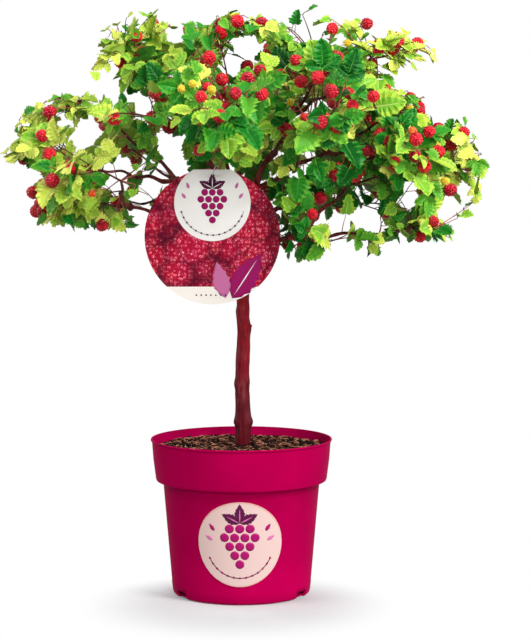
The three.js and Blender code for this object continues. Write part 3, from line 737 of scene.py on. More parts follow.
def plate(
    outline: Points, lay: Callable[[float, float, float], Point], low: float, high: float, rings: int = 4
) -> Shape:
    """A thin closed plate laid on a surface, from an outline that is star-shaped round its middle.

    Args:
        outline: Its corners across and up, one row each, clockwise or not.
        lay: Where a place across and up lies, at a lift off the surface.
        low: The lift of its back.
        high: The lift of its front.
        rings: How many rings of faces there are from its middle to its edge.

    Returns:
        Its corners and faces.
    """
    middle = outline.mean(axis=0)
    spokes = outline - middle
    if np.sum(np.cross(spokes, np.roll(spokes, -1, axis=0))) < 0:
        spokes = spokes[::-1]
    wider = [middle + spokes * ring / rings for ring in range(1, rings + 1)]
    back, front = (
        [np.array([lay(*corner, lift) for corner in ring]) for ring in wider] for lift in (low, high)
    )
    return domed([*back, *front[::-1]], lay(*middle, low), lay(*middle, high))


def circle(x: float, z: float, radius: float, count: int = 48) -> Points:
    """The corners of a circle across and up."""
    turns = round_the_clock(count)
    return np.column_stack((x + radius * np.cos(turns), z + radius * np.sin(turns)))


def leaf_outline(x: float, z: float, length: float, width: float, lean: float, teeth: int = 5) -> Points:
    """The outline across and up of a printed leaf.

    Args:
        x: Its base across.
        z: Its base's height.
        length: How long it is.
        width: How wide it is.
        lean: The way that it points, in degrees from up, to the right.
        teeth: How many teeth each side has.

    Returns:
        Its corners.
    """
    half = []
    for k in range(2 * teeth + 1):
        share = (k + 0.5) / (2 * teeth + 1)
        half.append((share, 0.5 * width / length * sin(pi * share**0.8) * (1.0 if k % 2 else 0.8)))
    corners = [(0.0, 0.0), *half, (1.0, 0.0), *[(share, -aside) for share, aside in reversed(half)]]
    far, aside = length * np.array(corners).T
    turn = radians(lean)
    return np.column_stack((x + far * sin(turn) + aside * cos(turn), z + far * cos(turn) - aside * sin(turn)))


class Draw:
    """Repeatable random numbers from 0 to 1, the same as the part's source draws."""

    def __init__(self, seed: int) -> None:
        """Starts at a seed."""
        self.state = seed & 0xFFFFFFFF

    def __call__(self) -> float:
        """Gives the next number.

        Returns:
            A number from 0 to 1.
        """
        self.state = (self.state + 0x6D2B79F5) & 0xFFFFFFFF
        t = self.state
        t = ((t ^ (t >> 15)) * (1 | t)) & 0xFFFFFFFF
        t = ((t + (((t ^ (t >> 7)) * (61 | t)) & 0xFFFFFFFF)) & 0xFFFFFFFF) ^ t
        return ((t ^ (t >> 14)) & 0xFFFFFFFF) / 4294967296

    def between(self, least: float, most: float) -> float:
        """The next number, from the least to the most."""
        return mix(least, most, self())

    def jolt(self, size: float) -> Point:
        """A vector of three numbers, each from less to more than 0 by a size."""
        return np.array([self.between(-size, size) for _ in range(3)])

    def pick(self, options: Sequence) -> object:
        """One of the options."""
        return options[int(self() * len(options))]


# ---- paths
class Path:
    """A smooth curve through nodes, evenly spaced in its parameter from 0 to 1."""

    def __init__(self, nodes: Sequence[Point], closed: bool = False) -> None:
        """Keeps the nodes."""
        self.nodes = np.array(nodes, float)
        self.closed = closed

    def at(self, share: float) -> Point:
        """The point at a share of the parameter.

        Args:
            share: How far along it is, from 0 to 1.

        Returns:
            The point.
        """
        nodes, count = self.nodes, len(self.nodes)
        place = (count if self.closed else count - 1) * share
        first = int(place)
        rest = place - first
        if not self.closed and first >= count - 1:
            first, rest = count - 2, 1.0
        if self.closed:
            before, one, two, after = (nodes[(first + k) % count] for k in (-1, 0, 1, 2))
        else:
            one, two = nodes[first], nodes[first + 1]
            before = nodes[first - 1] if first > 0 else 2 * one - two
            after = nodes[first + 2] if first + 2 < count else 2 * two - one
        way_in, way_out = 0.5 * (two - before), 0.5 * (after - one)
        cubic = 2 * one - 2 * two + way_in + way_out
        square = -3 * one + 3 * two - 2 * way_in - way_out
        return one + rest * (way_in + rest * (square + rest * cubic))

    def tangent(self, share: float) -> Point:
        """The direction at a share of the parameter."""
        return unit(self.at(min(1.0, share + 1e-4)) - self.at(max(0.0, share - 1e-4)))

    def samples(self, count: int) -> Points:
        """Points along it, from end to end."""
        return np.array([self.at(k / (count - 1)) for k in range(count)])


def cubic_point(ends: Sequence[Point], share: float) -> Point:
    """The point of a cubic Bezier curve.

    Args:
        ends: The curve's four control points.
        share: How far along it is, from 0 to 1.

    Returns:
        The point.
    """
    start, first, second, end = ends
    rest = 1 - share
    return rest**3 * start + 3 * rest**2 * share * first + 3 * rest * share**2 * second + share**3 * end


@dataclass
class Stem:
    """A bent stem from a start through a knee to an end, tapering."""

    start: Point
    knee: Point
    end: Point
    thick: float
    thin: float

    def at(self, share: float) -> Point:
        """The point at a share."""
        rest = 1 - share
        return rest * rest * self.start + 2 * rest * share * self.knee + share * share * self.end

    def tangent(self, share: float) -> Point:
        """The direction at a share."""
        return unit((1 - share) * (self.knee - self.start) + share * (self.end - self.knee))

    def radius(self, share: float) -> float:
        """The radius at a share."""
        return mix(self.thick, self.thin, share)


# ---- trunk and boughs
@dataclass
class Wood:
    """The trunk and its boughs, with bark in relief."""

    foot: float = 185.3
    foot_x: float = 1.4
    fork_x: float = 3.2
    top: float = 468.0
    trunk_steps: int = 16
    waviness: float = 0.7
    waves: float = 17.0
    limb_steps: int = 6
    kink_aside: float = 1.1
    kink_up: float = 2.2
    sample_count: int = 25
    sunk: float = 9.0
    slender: tuple[float, float] = (0.9, 0.52)
    trunk_radii: tuple[tuple[float, float], ...] = (
        (0, 9.1), (12, 9.3), (26, 9.9), (40, 9.2), (70, 8.6), (150, 7.9), (255, 7.7), (283, 6.6),
    )
    # Name, parent, share of it, heading and slope it sets off at, heading, reach and height of its tip,
    # slope it arrives at, radius at either end.
    limbs: tuple[tuple, ...] = (
        ("bough_upright_right", "trunk", 0.99, 0, 74, 357, 88, 640, 62, 5.6, 3.0),
        ("bough_centre_left", "trunk", 0.97, 177, 62, 188, 98, 618, 50, 5.2, 2.8),
        ("bough_left_high", "trunk", 0.935, 172, 38, 172, 160, 582, 42, 4.9, 2.6),
        ("bough_left_low", "trunk", 0.885, 176, 18, 182, 190, 489, 8, 4.6, 2.5),
        ("bough_right_lowest", "trunk", 0.885, 8, 4, 346, 188, 452, 5, 4.6, 2.5),
        ("bough_back_centre", "trunk", 0.955, 95, 40, 95, 165, 556, 32, 4.9, 2.6),
        ("bough_back_right", "trunk", 0.915, 48, 24, 50, 175, 532, 26, 4.7, 2.6),
        ("bough_back_left", "trunk", 0.905, 132, 26, 136, 172, 536, 24, 4.7, 2.6),
        ("bough_right_mid", "bough_upright_right", 0.2, 0, 30, 347, 170, 586, 30, 4.0, 2.4),
        ("bough_top_right", "bough_upright_right", 0.72, 350, 30, 353, 138, 646, 45, 3.0, 2.2),
        ("bough_front_right", "bough_upright_right", 0.42, 290, 22, 304, 132, 574, 4, 3.6, 2.3),
        ("bough_top_centre", "bough_centre_left", 0.5, 20, 72, 215, 24, 636, 80, 3.4, 2.2),
        ("bough_front_left", "bough_centre_left", 0.64, 235, 20, 226, 148, 586, 4, 3.4, 2.2),
        ("bough_front_centre", "bough_centre_left", 0.52, 288, 30, 262, 138, 588, 6, 3.6, 2.3),
        ("bough_left_mid", "bough_left_high", 0.5, 180, -2, 178, 184, 528, 8, 3.4, 2.2),
        ("bough_left_front", "bough_left_low", 0.74, 218, 22, 212, 186, 520, 10, 3.2, 2.2),
        ("bough_right_low", "bough_right_lowest", 0.34, 12, 38, 6, 172, 519, 6, 3.6, 2.3),
        ("bough_front_right_low", "bough_right_lowest", 0.46, 312, -4, 318, 128, 440, -8, 3.2, 2.2),
        ("bough_right_front", "bough_right_mid", 0.56, 320, -2, 326, 188, 542, 4, 3.1, 2.2),
        ("bough_back_left_low", "bough_back_left", 0.4, 160, 0, 150, 165, 484, 0, 3.4, 2.2),
        ("bough_back_right_low", "bough_back_right", 0.4, 25, 0, 35, 165, 480, 0, 3.4, 2.2),
        ("bough_top_back_left", "bough_back_centre", 0.46, 130, 58, 126, 112, 626, 60, 3.4, 2.2),
        ("bough_top_back_right", "bough_back_centre", 0.56, 50, 55, 58, 118, 622, 60, 3.2, 2.2),
    )
    paths: dict[str, Path] = field(default_factory=dict)
    radii: dict[str, Callable[[float], float]] = field(default_factory=dict)

    def grow(self) -> None:
        """Lays every limb's path, the trunk first."""
        height = self.top - self.foot
        nodes = []
        for share in np.linspace(0.0, 1.0, self.trunk_steps + 1):
            sway = self.waviness * sin(share * self.waves)
            x = mix(self.foot_x, self.fork_x, share) + sway
            nodes.append(vec(x, -0.6 * sway, self.foot + height * share))
        self.paths["trunk"] = Path(nodes)
        self.radii["trunk"] = lambda share: along(self.trunk_radii, height * share)
        for name, parent, share, set_off, leave, heading, reach, tip, arrive, thick, thin in self.limbs:
            ways = direction(set_off, leave), direction(heading, arrive)
            ends = self.paths[parent].at(share), self.crown_point(heading, reach, tip)
            self.paths[name] = self._limb_path(*ends, *ways)
            self.radii[name] = lambda at, thick=thick, thin=thin: mix(thick, thin, at)

    def crown_point(self, heading: float, reach: float, height: float) -> Point:
        """The point at a heading and reach from the trunk's axis, at a height."""
        return direction(heading, 0.0) * reach + vec(self.fork_x, 0.0, height)

    def _limb_path(self, start: Point, end: Point, way_out: Point, way_in: Point) -> Path:
        """A cubic curve whose inner nodes are kinked to and fro.

        Args:
            start: Where it starts.
            end: Where it ends.
            way_out: The direction that it starts in.
            way_in: The direction that it ends in.

        Returns:
            The limb's path.
        """
        third = float(np.linalg.norm(end - start)) / 3
        ends = (start, start + way_out * third, end - way_in * third, end)
        nodes = []
        for k in range(self.limb_steps + 1):
            share = k / self.limb_steps
            node = cubic_point(ends, share)
            if 0 < k < self.limb_steps:
                tangent = unit(cubic_point(ends, share + 1e-4) - cubic_point(ends, share - 1e-4))
                level, raised = across_of(tangent)
                side = 1 if k % 2 else -1
                node = node + level * side * self.kink_aside + raised * side * self.kink_up
            nodes.append(node)
        return Path(nodes)

    def segments(self) -> tuple[Points, Points, Points]:
        """The starts, ends and radii of every limb's straight stretches, to measure from.

        Returns:
            The starts, the ends and the radii.
        """
        starts, ends, radii = [], [], []
        for name, path in self.paths.items():
            points = path.samples(self.sample_count)
            starts.append(points[:-1])
            ends.append(points[1:])
            radii += [self.radii[name](k / (self.sample_count - 1)) for k in range(1, self.sample_count)]
        return np.vstack(starts), np.vstack(ends), np.array(radii)

    def dress(self) -> None:
        """Makes the trunk and the boughs with bark in relief."""
        trunk, boughs = Draft(), Draft()
        trunk.add(*self._barked("trunk", 300, 60))
        self._add_stub(trunk)
        settle(trunk.piece("trunk_wood", [TRUNK_BARK]), "bark", "trunk")
        names = [name for name, *_ in self.limbs]
        for name in names:
            boughs.add(*self._barked(name, 70, 14))
        settle(boughs.piece("bough_wood", [BOUGH_BARK]), "bough_bark", *names)

    def _barked(self, name: str, rings: int, sides: int) -> Shape:
        """A limb whose surface is ridged, swollen at its nodes and knotted.

        Args:
            name: The limb's name.
            rings: How many rings of corners it has.
            sides: How many corners each has.

        Returns:
            Its corners and faces.
        """
        trunk = name == "trunk"
        path, radius = self.paths[name], self.radii[name]
        shares, middles = np.linspace(0.0, 1.0, rings), path.samples(rings)
        length = float(np.linalg.norm(np.diff(middles, axis=0), axis=1).sum())
        if not trunk:
            foot = middles[0] - path.tangent(0.0) * min(self.sunk, 0.8 * radius(0.0))
            middles, shares = np.vstack((foot, middles)), np.concatenate(((0.0,), shares))
        wide = [1.0 if trunk else self._flare(share, length) for share in shares]
        points, faces = tube(middles, [radius(share) * more for share, more in zip(shares, wide)], sides)
        seed = 7.3 * len(name) + 3.1 * sum(map(ord, name)) % 97
        for index, point in enumerate(points):
            ring = index // sides
            out, place = point - middles[ring], shares[ring] * length
            across = unit(out)
            ridge = noise.noise(Vector((across * 2.6).tolist()) + Vector((seed, place * 0.02, 0.0)))
            lumps = noise.noise(Vector((across * 1.2).tolist()) + Vector((0.0, seed, place * 0.055)))
            fine = noise.noise(Vector((across * 6.5).tolist()) + Vector((place * 0.06, 0.0, seed)))
            swell = 0.0 if trunk else 0.22 * exp(-(((place % 34.0) - 17.0) / 3.2) ** 2)
            depth = 0.13 if trunk else 0.16
            points[index] = middles[ring] + out * (1.0 + depth * ridge + 0.10 * lumps + 0.07 * fine + swell)
        if trunk:
            self._add_knots(points)
        return points, faces

    def _flare(self, share: float, length: float) -> float:
        """How much wider a bough is at a share of its length than its solid: at its foot, and thinner on."""
        return mix(1.5, 1.0, min(1.0, share * length / 14.0)) * mix(*self.slender, share**0.7)

    def _add_knots(self, points: Points) -> None:
        """Raises the trunk's old nodes, where boughs once grew: heading, height, size and height of each.

        Args:
            points: The trunk's corners, which are moved.
        """
        for heading, height, size, rise in (
            (262, 292, 7.0, 1.9), (205, 261, 4.5, 1.6), (318, 263, 4.5, 1.4), (195, 214, 4.2, 3.2),
            (340, 214, 4.2, 3.4), (20, 330, 5.0, 2.0), (100, 250, 6.0, 1.8), (160, 350, 5.0, 1.6),
            (275, 356, 3.5, 1.2),
        ):
            middle = self._trunk_at(height)
            knot = middle + direction(heading, 0.0) * 8.0
            gaps = np.linalg.norm((points - knot) * vec(1.0, 1.0, 0.75), axis=1)
            share = np.exp(-((gaps / size) ** 2))[:, None]
            out = (points - middle) * vec(1.0, 1.0, 0.0)
            points += share * rise * out / np.maximum(1e-6, np.linalg.norm(out, axis=1))[:, None]

    def _trunk_at(self, height: float) -> Point:
        """The trunk's middle at a height."""
        return self.paths["trunk"].at((height - self.foot) / (self.top - self.foot))

    def _add_stub(self, draft: Draft) -> None:
        """A short stub of a cut side shoot on the trunk's right.

        Args:
            draft: What it is added to.
        """
        way = unit(vec(0.75, -0.35, 0.6))
        path = np.array([self._trunk_at(326) + way * far for far in (3.0, 8.0, 10.5, 12.5, 13.6)])
        draft.add(*tube(path, (3.4, 2.6, 2.0, 1.9, 1.0), 12))


# ---- leaves
@dataclass(frozen=True)
class LeafShape:
    """Half of a leaf's outline, for a length of 1: teeth and the notches after them as along and aside pairs,
    and where each tooth's vein leaves the rib."""

    teeth: tuple[tuple[float, float], ...]
    notches: tuple[tuple[float, float], ...]
    veins: tuple[float, ...]


class LeafKind(Enum):
    """The kinds of leaf on a raspberry."""

    OVAL = LeafShape(
        ((0.00, 0.14), (0.12, 0.30), (0.28, 0.41), (0.48, 0.42), (0.68, 0.34), (0.87, 0.20)),
        ((0.06, 0.19), (0.19, 0.32), (0.37, 0.365), (0.56, 0.335), (0.76, 0.24), (0.93, 0.10)),
        (0.02, 0.07, 0.19, 0.36, 0.54, 0.74),
    )
    LOBED = LeafShape(
        ((-0.06, 0.20), (0.07, 0.42), (0.34, 0.54), (0.52, 0.36), (0.71, 0.36), (0.89, 0.19)),
        ((0.01, 0.28), (0.22, 0.41), (0.42, 0.31), (0.60, 0.27), (0.79, 0.22), (0.94, 0.09)),
        (0.02, 0.05, 0.10, 0.33, 0.51, 0.72),
    )
    BROAD = LeafShape(
        ((-0.11, 0.24), (0.05, 0.51), (0.31, 0.56), (0.50, 0.48), (0.71, 0.37), (0.89, 0.21)),
        ((-0.02, 0.32), (0.20, 0.43), (0.39, 0.41), (0.58, 0.345), (0.78, 0.245), (0.94, 0.10)),
        (0.02, 0.04, 0.12, 0.28, 0.5, 0.72),
    )
    SLIM = LeafShape(
        ((0.03, 0.13), (0.23, 0.28), (0.48, 0.33), (0.73, 0.25)),
        ((0.13, 0.18), (0.34, 0.26), (0.59, 0.245), (0.86, 0.11)),
        (0.04, 0.14, 0.33, 0.58),
    )


RIB, INNER, OUTER, BACK = range(4)
BASE, TIP = 0, 1


@dataclass
class LeafBlade:
    """One leaf's closed thin mesh for a length of 1: x across, y along, z up."""

    kind: LeafKind
    seed: int
    rib_width: float = 0.028
    thickness: float = 0.04
    jitter: float = 0.035
    vein_drop: float = -0.024
    pleat: float = 0.042

    def build(self) -> tuple[Points, list[Face], list[int]]:
        """The corners, the faces and each face's zone.

        Returns:
            Corners, faces and zones.
        """
        draw, veins = Draw(self.seed), self.kind.value.veins
        count = len(veins)
        points = [(0.0, 0.0, 0.0), (0.0, 1.0, 0.0), *((0.0, vein, -self.thickness) for vein in veins)]
        faces: list[Face] = []
        zones: list[int] = []
        ribs = []
        for side in (1, -1):
            start = len(points)
            points += self._half(side, draw)
            rows = [range(start + row * count, start + (row + 1) * count) for row in range(5)]
            ribs.append(rows[0])
            upper, kinds = self._upper(*rows)
            under = self._under(range(2, 2 + count), rows[2], rows[3])
            faces += (upper if side > 0 else [face[::-1] for face in upper])
            faces += (under if side < 0 else [face[::-1] for face in under])
            zones += kinds + [BACK] * len(under)
        right, left = ribs
        strip = [(BASE, right[0], left[0]), (left[-1], right[-1], TIP)]
        strip += [(left[k], right[k], right[k + 1], left[k + 1]) for k in range(count - 1)]
        return np.array(points), faces + strip, zones + [RIB] * len(strip)

    def _shift(self, corners: Sequence[tuple[float, float]], side: int, draw: Draw) -> Points:
        """Corners of the outline, moved a little, as aside and along."""
        moved = [[value + draw.between(-self.jitter, self.jitter) for value in corner] for corner in corners]
        return np.array(moved)[:, ::-1] * (side, 1.0)

    def _half(self, side: int, draw: Draw) -> list[tuple[float, float, float]]:
        """The corners of one side: of the rib, the veins, the teeth, the notches and the crests.

        Args:
            side: 1 for the right or -1 for the left.
            draw: The random draws.

        Returns:
            The corners.
        """
        shape = self.kind.value
        teeth, notches = self._shift(shape.teeth, side, draw), self._shift(shape.notches, side, draw)
        ribs = np.array([(side * 0.5 * self.rib_width * (1 - vein), vein) for vein in shape.veins])
        veins = mix(ribs, teeth, 0.55)
        crests = (veins + np.vstack((veins[1:], (0.0, 1.0)))) / 2
        rows = ((ribs, 0.0), (veins, self.vein_drop), (teeth, 0.0), (notches, 0.004), (crests, self.pleat))
        return [(x, y, z) for row, z in rows for x, y in row]

    @staticmethod
    def _upper(
        rib: range, vein: range, tooth: range, notch: range, crest: range
    ) -> tuple[list[Face], list[int]]:
        """The upper faces of the right half, and their zones.

        Args:
            rib: The numbers of the rib's corners.
            vein: The numbers of the veins' corners.
            tooth: The numbers of the teeth.
            notch: The numbers of the notches.
            crest: The numbers of the crests.

        Returns:
            The faces and their zones.
        """
        faces: list[Face] = [(BASE, tooth[0], vein[0], rib[0])]
        zones = [INNER]
        for k in range(len(rib)):
            faces += [(rib[k], vein[k], crest[k]), (vein[k], tooth[k], notch[k], crest[k])]
            zones += [INNER, OUTER]
        for k in range(len(rib) - 1):
            faces += [(rib[k], crest[k], rib[k + 1]), (rib[k + 1], crest[k], vein[k + 1])]
            faces.append((crest[k], notch[k], tooth[k + 1], vein[k + 1]))
            zones += [INNER, INNER, OUTER]
        return [*faces, (rib[-1], crest[-1], TIP), (crest[-1], notch[-1], TIP)], [*zones, INNER, OUTER]

    @staticmethod
    def _under(under: range, tooth: range, notch: range) -> list[Face]:
        """The lower faces of the right half, seen from above.

        Args:
            under: The numbers of the lower corners.
            tooth: The numbers of the teeth.
            notch: The numbers of the notches.

        Returns:
            The faces.
        """
        faces: list[Face] = [(BASE, tooth[0], under[0]), (under[-1], notch[-1], TIP)]
        faces += [(under[k], tooth[k], notch[k]) for k in range(len(under))]
        for k in range(len(under) - 1):
            faces += [(under[k], notch[k], under[k + 1]), (under[k + 1], notch[k], tooth[k + 1])]
        return faces


@dataclass
class LeafCutter:
    """Keeps a few blades of each kind, and lays them in the crown."""

    variants: int = 3
    blades: dict[LeafKind, list[tuple]] = field(default_factory=dict)

    def __post_init__(self) -> None:
        """Cuts the blades."""
        for index, kind in enumerate(LeafKind):
            self.blades[kind] = [LeafBlade(kind, 900 + 31 * index + k).build() for k in range(self.variants)]

    def lay(
        self, draft: Draft, kind: LeafKind, base: Point, ahead: Point, facing: Point, length: float,
        colours: Sequence[int], draw: Draw,
    ) -> None:
        """Lays one leaf.

        Args:
            draft: What it is added to.
            kind: Its kind.
            base: Where its blade begins.
            ahead: The way that it points.
            facing: The way that its upper side faces.
            length: How long its blade is.
            colours: The finishes of its rib, inner part, outer part and back.
            draw: What its bends are drawn from.
        """
        points, faces, zones = draw.pick(self.blades[kind])
        right, up = frame_of(ahead, facing)
        fold, droop, curl = draw.between(0.1, 0.6), draw.between(0.0, 0.35), draw.between(-0.1, 0.35)
        twist, wave = draw.between(-0.35, 0.35), draw.between(-0.05, 0.05)
        across, far, rise = points.T
        height = rise + fold * np.abs(across) - droop * far**2 - curl * across**2
        height = height + twist * across * far + wave * np.sin(9.0 * far) * across * 2
        placed = base + length * (np.outer(across, right) + np.outer(far, ahead) + np.outer(height, up))
        draft.add(placed, faces, [colours[zone] for zone in zones])


# ---- berries
@dataclass(frozen=True)
class Ripeness:
    """The colours of a berry's drupelets, of its darker core, which paints the shade between them, and of its
    hairs, and how big it is.
    """

    name: str
    drupelets: tuple[Colour, Colour, Colour]
    # Painted shade: the core shows between the drupelets in a darker copy of their colour.
    core: Colour
    size: float
    hairs: Colour


# Each core is a darker copy of its drupelets' colour, painted shade in the gaps between them.
RIPE = Ripeness(
    "ripe", (tone(208, 10, 34), tone(182, 2, 28), tone(226, 26, 46)),
    tone(84, 0, 16), 1.0, tone(232, 120, 104),
)
DARK = Ripeness(
    "dark", (tone(170, 2, 30), tone(146, 0, 26), tone(190, 10, 38)),
    tone(64, 0, 14), 1.04, tone(222, 104, 100),
)
BLUSH = Ripeness(
    "blush", (tone(240, 96, 50), tone(232, 74, 44), tone(244, 132, 58)),
    tone(190, 66, 36), 0.66, tone(244, 200, 120),
)
GOLD = Ripeness(
    "gold", (tone(220, 186, 34), tone(206, 172, 40), tone(232, 200, 66)),
    tone(170, 140, 30), 0.62, tone(240, 224, 140),
)
RIPENESSES = (RIPE, DARK, BLUSH, GOLD)
SEPAL = PlainFinish("sepal", tone(182, 198, 86), 0.5)
SEPAL_PALE = PlainFinish("sepal_pale", tone(214, 218, 130), 0.5)


def berry_finishes() -> list[PlainFinish]:
    """Every finish that a berry may have, in the order that the berry maker counts them.

    Returns:
        The finishes.
    """
    finishes = []
    for ripe in RIPENESSES:
        finishes += [PlainFinish(f"drupelet_{ripe.name}_{k}", ripe.drupelets[k], 0.3, 0.3) for k in range(3)]
        # The core's finish paints the shade between the drupelets.
        finishes.append(PlainFinish(f"core_{ripe.name}", ripe.core, 0.5))
        finishes.append(PlainFinish(f"hair_{ripe.name}", ripe.hairs, 0.6))
    return [*finishes, SEPAL, SEPAL_PALE, SHOOT_RED, SHOOT_GREEN]


@dataclass
class BerryMaker:
    """Raspberries of many drupelets round a core, each with a fine hair, under a star of sepals."""

    radius: float = 7.6
    length: float = 15.5
    rows: int = 6
    drupelet: float = 2.2
    sides: int = 5
    hair: float = 1.5
    hair_radius: float = 0.09
    sepals: int = 5
    finish_count: int = 5
    template: list[tuple[Points, list[Face], list[int]]] = field(default_factory=list)

    def __post_init__(self) -> None:
        """Makes a few berries, for a size of 1, that hang along +Z from their top at the origin."""
        for seed in (11, 12, 13):
            self.template.append(self._berry(Draw(seed)))

    def _surface(self, polar: float, turn: float) -> tuple[Point, Point]:
        """The place and the way out on the core, at an angle from its far tip and a turn.

        Args:
            polar: The angle from its far tip.
            turn: The turn round its axis.

        Returns:
            The place and the way out.
        """
        out = vec(sin(polar) * cos(turn), sin(polar) * sin(turn), cos(polar))
        wide = self.radius - 0.6 * self.drupelet
        high = 0.5 * self.length - 0.5 * self.drupelet
        taper = 1.0 - 0.12 * cos(polar)
        place = out * vec(wide * taper, wide * taper, high) + UP * 0.5 * self.length
        return place, unit(out * vec(high, high, wide))

    def _berry(self, draw: Draw) -> tuple[Points, list[Face], list[int]]:
        """One berry's corners, faces and zones: 0 to 2 for drupelets, 3 for the core and 4 for hairs.

        Args:
            draw: The random draws.

        Returns:
            Corners, faces and zones.
        """
        draft = Draft()
        rings = 6
        sides = [self._surface(pi * (1 - k / rings), 0.0)[0] for k in range(1, rings)]
        ends = ((0.0, 0.12 * self.length), (0.0, self.length - self.drupelet * 0.9))
        # The core, in its darker finish that paints the shade between the drupelets.
        draft.add(*lathe([ends[0], *((place[0] * 0.97, place[2]) for place in sides), ends[1]], 10), 3)
        for row in range(self.rows + 1):
            polar = radians(4 + 146 * row / self.rows)
            about = max(1, round(2 * pi * self.radius * sin(polar) * 0.95 / (1.72 * self.drupelet)))
            for k in range(about):
                turn = 2 * pi * (k + 0.5 * (row % 2) + draw.between(-0.12, 0.12)) / about
                place, out = self._surface(polar + draw.between(-0.05, 0.05), turn)
                self._add_drupelet(draft, place, out, draw)
        return np.vstack(draft.points), draft.faces, draft.finishes

    def _add_drupelet(self, draft: Draft, place: Point, out: Point, draw: Draw) -> None:
        """A round drupelet and its hair.

        Args:
            draft: What it is added to.
            place: The place.
            out: The way out of the berry.
            draw: The random draws.
        """
        n = self.sides
        size = self.drupelet * draw.between(0.9, 1.08)
        level, raised = across_of(out)
        turns = round_the_clock(n)
        rim = np.outer(np.cos(turns), level) + np.outer(np.sin(turns), raised)
        rings = (place + rim * size - out * 0.15 * size, place + rim * 0.76 * size + out * 0.5 * size)
        top = [(n + k, n + (k + 1) % n, 2 * n) for k in range(n)]
        draft.add(np.vstack((*rings, place + out * 0.86 * size)), skin(rings) + top, int(draw() * 3))
        lean = unit(out + vec(draw.between(-0.5, 0.5), draw.between(-0.5, 0.5), 0.35))
        foot = place + out * 0.7 * size
        spread = [foot + (level * cos(a) + raised * sin(a)) * self.hair_radius for a in (0.0, 2.1, 4.2)]
        draft.add(np.array([*spread, foot + lean * self.hair]), [(0, 1, 3), (1, 2, 3), (2, 0, 3)], 4)

    def hang(self, draft: Draft, top: Point, way: Point, size: float, ripeness: int, draw: Draw) -> None:
        """Adds a berry and its sepals.

        Args:
            draft: What it is added to.
            top: Where its stalk ends.
            way: The way from its top to its tip.
            size: How big it is beside the template.
            ripeness: Its place in the list of ripenesses.
            draw: What its turn and its sepals are drawn from.
        """
        points, faces, zones = draw.pick(self.template)
        level, raised = across_of(way)
        turn = draw.between(0.0, 2 * pi)
        first = level * cos(turn) + raised * sin(turn)
        axes = vec(first, np.cross(way, first), way)
        scale = size * RIPENESSES[ripeness].size
        start = ripeness * self.finish_count
        draft.add(top + scale * (points @ axes), faces, [start + zone for zone in zones])
        for k in range(self.sepals):
            about = turn + 2 * pi * k / self.sepals + draw.between(-0.2, 0.2)
            out = level * cos(about) + raised * sin(about)
            lift = draw.between(-0.55, 0.45)
            self._add_sepal(draft, top, way, out, out * cos(lift) - way * sin(lift), size, draw)

    def _add_sepal(
        self, draft: Draft, top: Point, way: Point, out: Point, ahead: Point, size: float, draw: Draw
    ) -> None:
        """A pointed sepal that runs ahead from a berry's top, four-sided above and below.

        Args:
            draft: What it is added to.
            top: The berry's top.
            way: The direction of the berry's stalk.
            out: The way out of the berry.
            ahead: The direction that it runs in.
            size: The berry's size.
            draw: The random draws.
        """
        side = np.cross(way, out) * 1.5 * size
        middle = top + ahead * 3.0 * size + way * 0.1
        corners = vec(top - way * 0.5, middle + side, top + ahead * 7.2 * size, middle - side,
                      middle + way * 0.7 * size, middle - way * 0.35 * size)
        faces = [(k, (k + 1) % 4, 4) for k in range(4)] + [((k + 1) % 4, k, 5) for k in range(4)]
        draft.add(corners, faces, len(RIPENESSES) * self.finish_count + (1 if draw() < 0.4 else 0))


# ---- the crown
MASSES = (
    ("top_right_centre", "bough_upright_right", 357, 84, 676),
    ("top_left", "bough_centre_left", 186, 140, 668),
    ("left_upper", "bough_left_high", 171, 232, 618),
    ("left_low", "bough_left_low", 191, 226, 486),
    ("right_low", "bough_right_lowest", 342, 240, 456),
    ("back_centre", "bough_back_centre", 93, 250, 590),
    ("back_right", "bough_back_right", 50, 252, 560),
    ("back_left", "bough_back_left", 134, 252, 562),
    ("right_upper", "bough_right_mid", 345, 240, 616),
    ("top_right", "bough_top_right", 352, 184, 664),
    ("front_right", "bough_front_right", 298, 232, 586),
    ("top_centre", "bough_top_centre", 205, 30, 672),
    ("front_left", "bough_front_left", 231, 240, 590),
    ("front_centre", "bough_front_centre", 265, 246, 594),
    ("far_left", "bough_left_mid", 179, 244, 540),
    ("left_front", "bough_left_front", 213, 254, 530),
    ("far_right", "bough_right_low", 3, 256, 536),
    ("front_right_low", "bough_front_right_low", 312, 178, 450),
    ("right_front", "bough_right_front", 325, 254, 540),
    ("back_left_low", "bough_back_left_low", 154, 238, 480),
    ("back_right_low", "bough_back_right_low", 28, 238, 474),
    ("top_back_left", "bough_top_back_left", 124, 152, 664),
    ("top_back_right", "bough_top_back_right", 60, 156, 660),
)


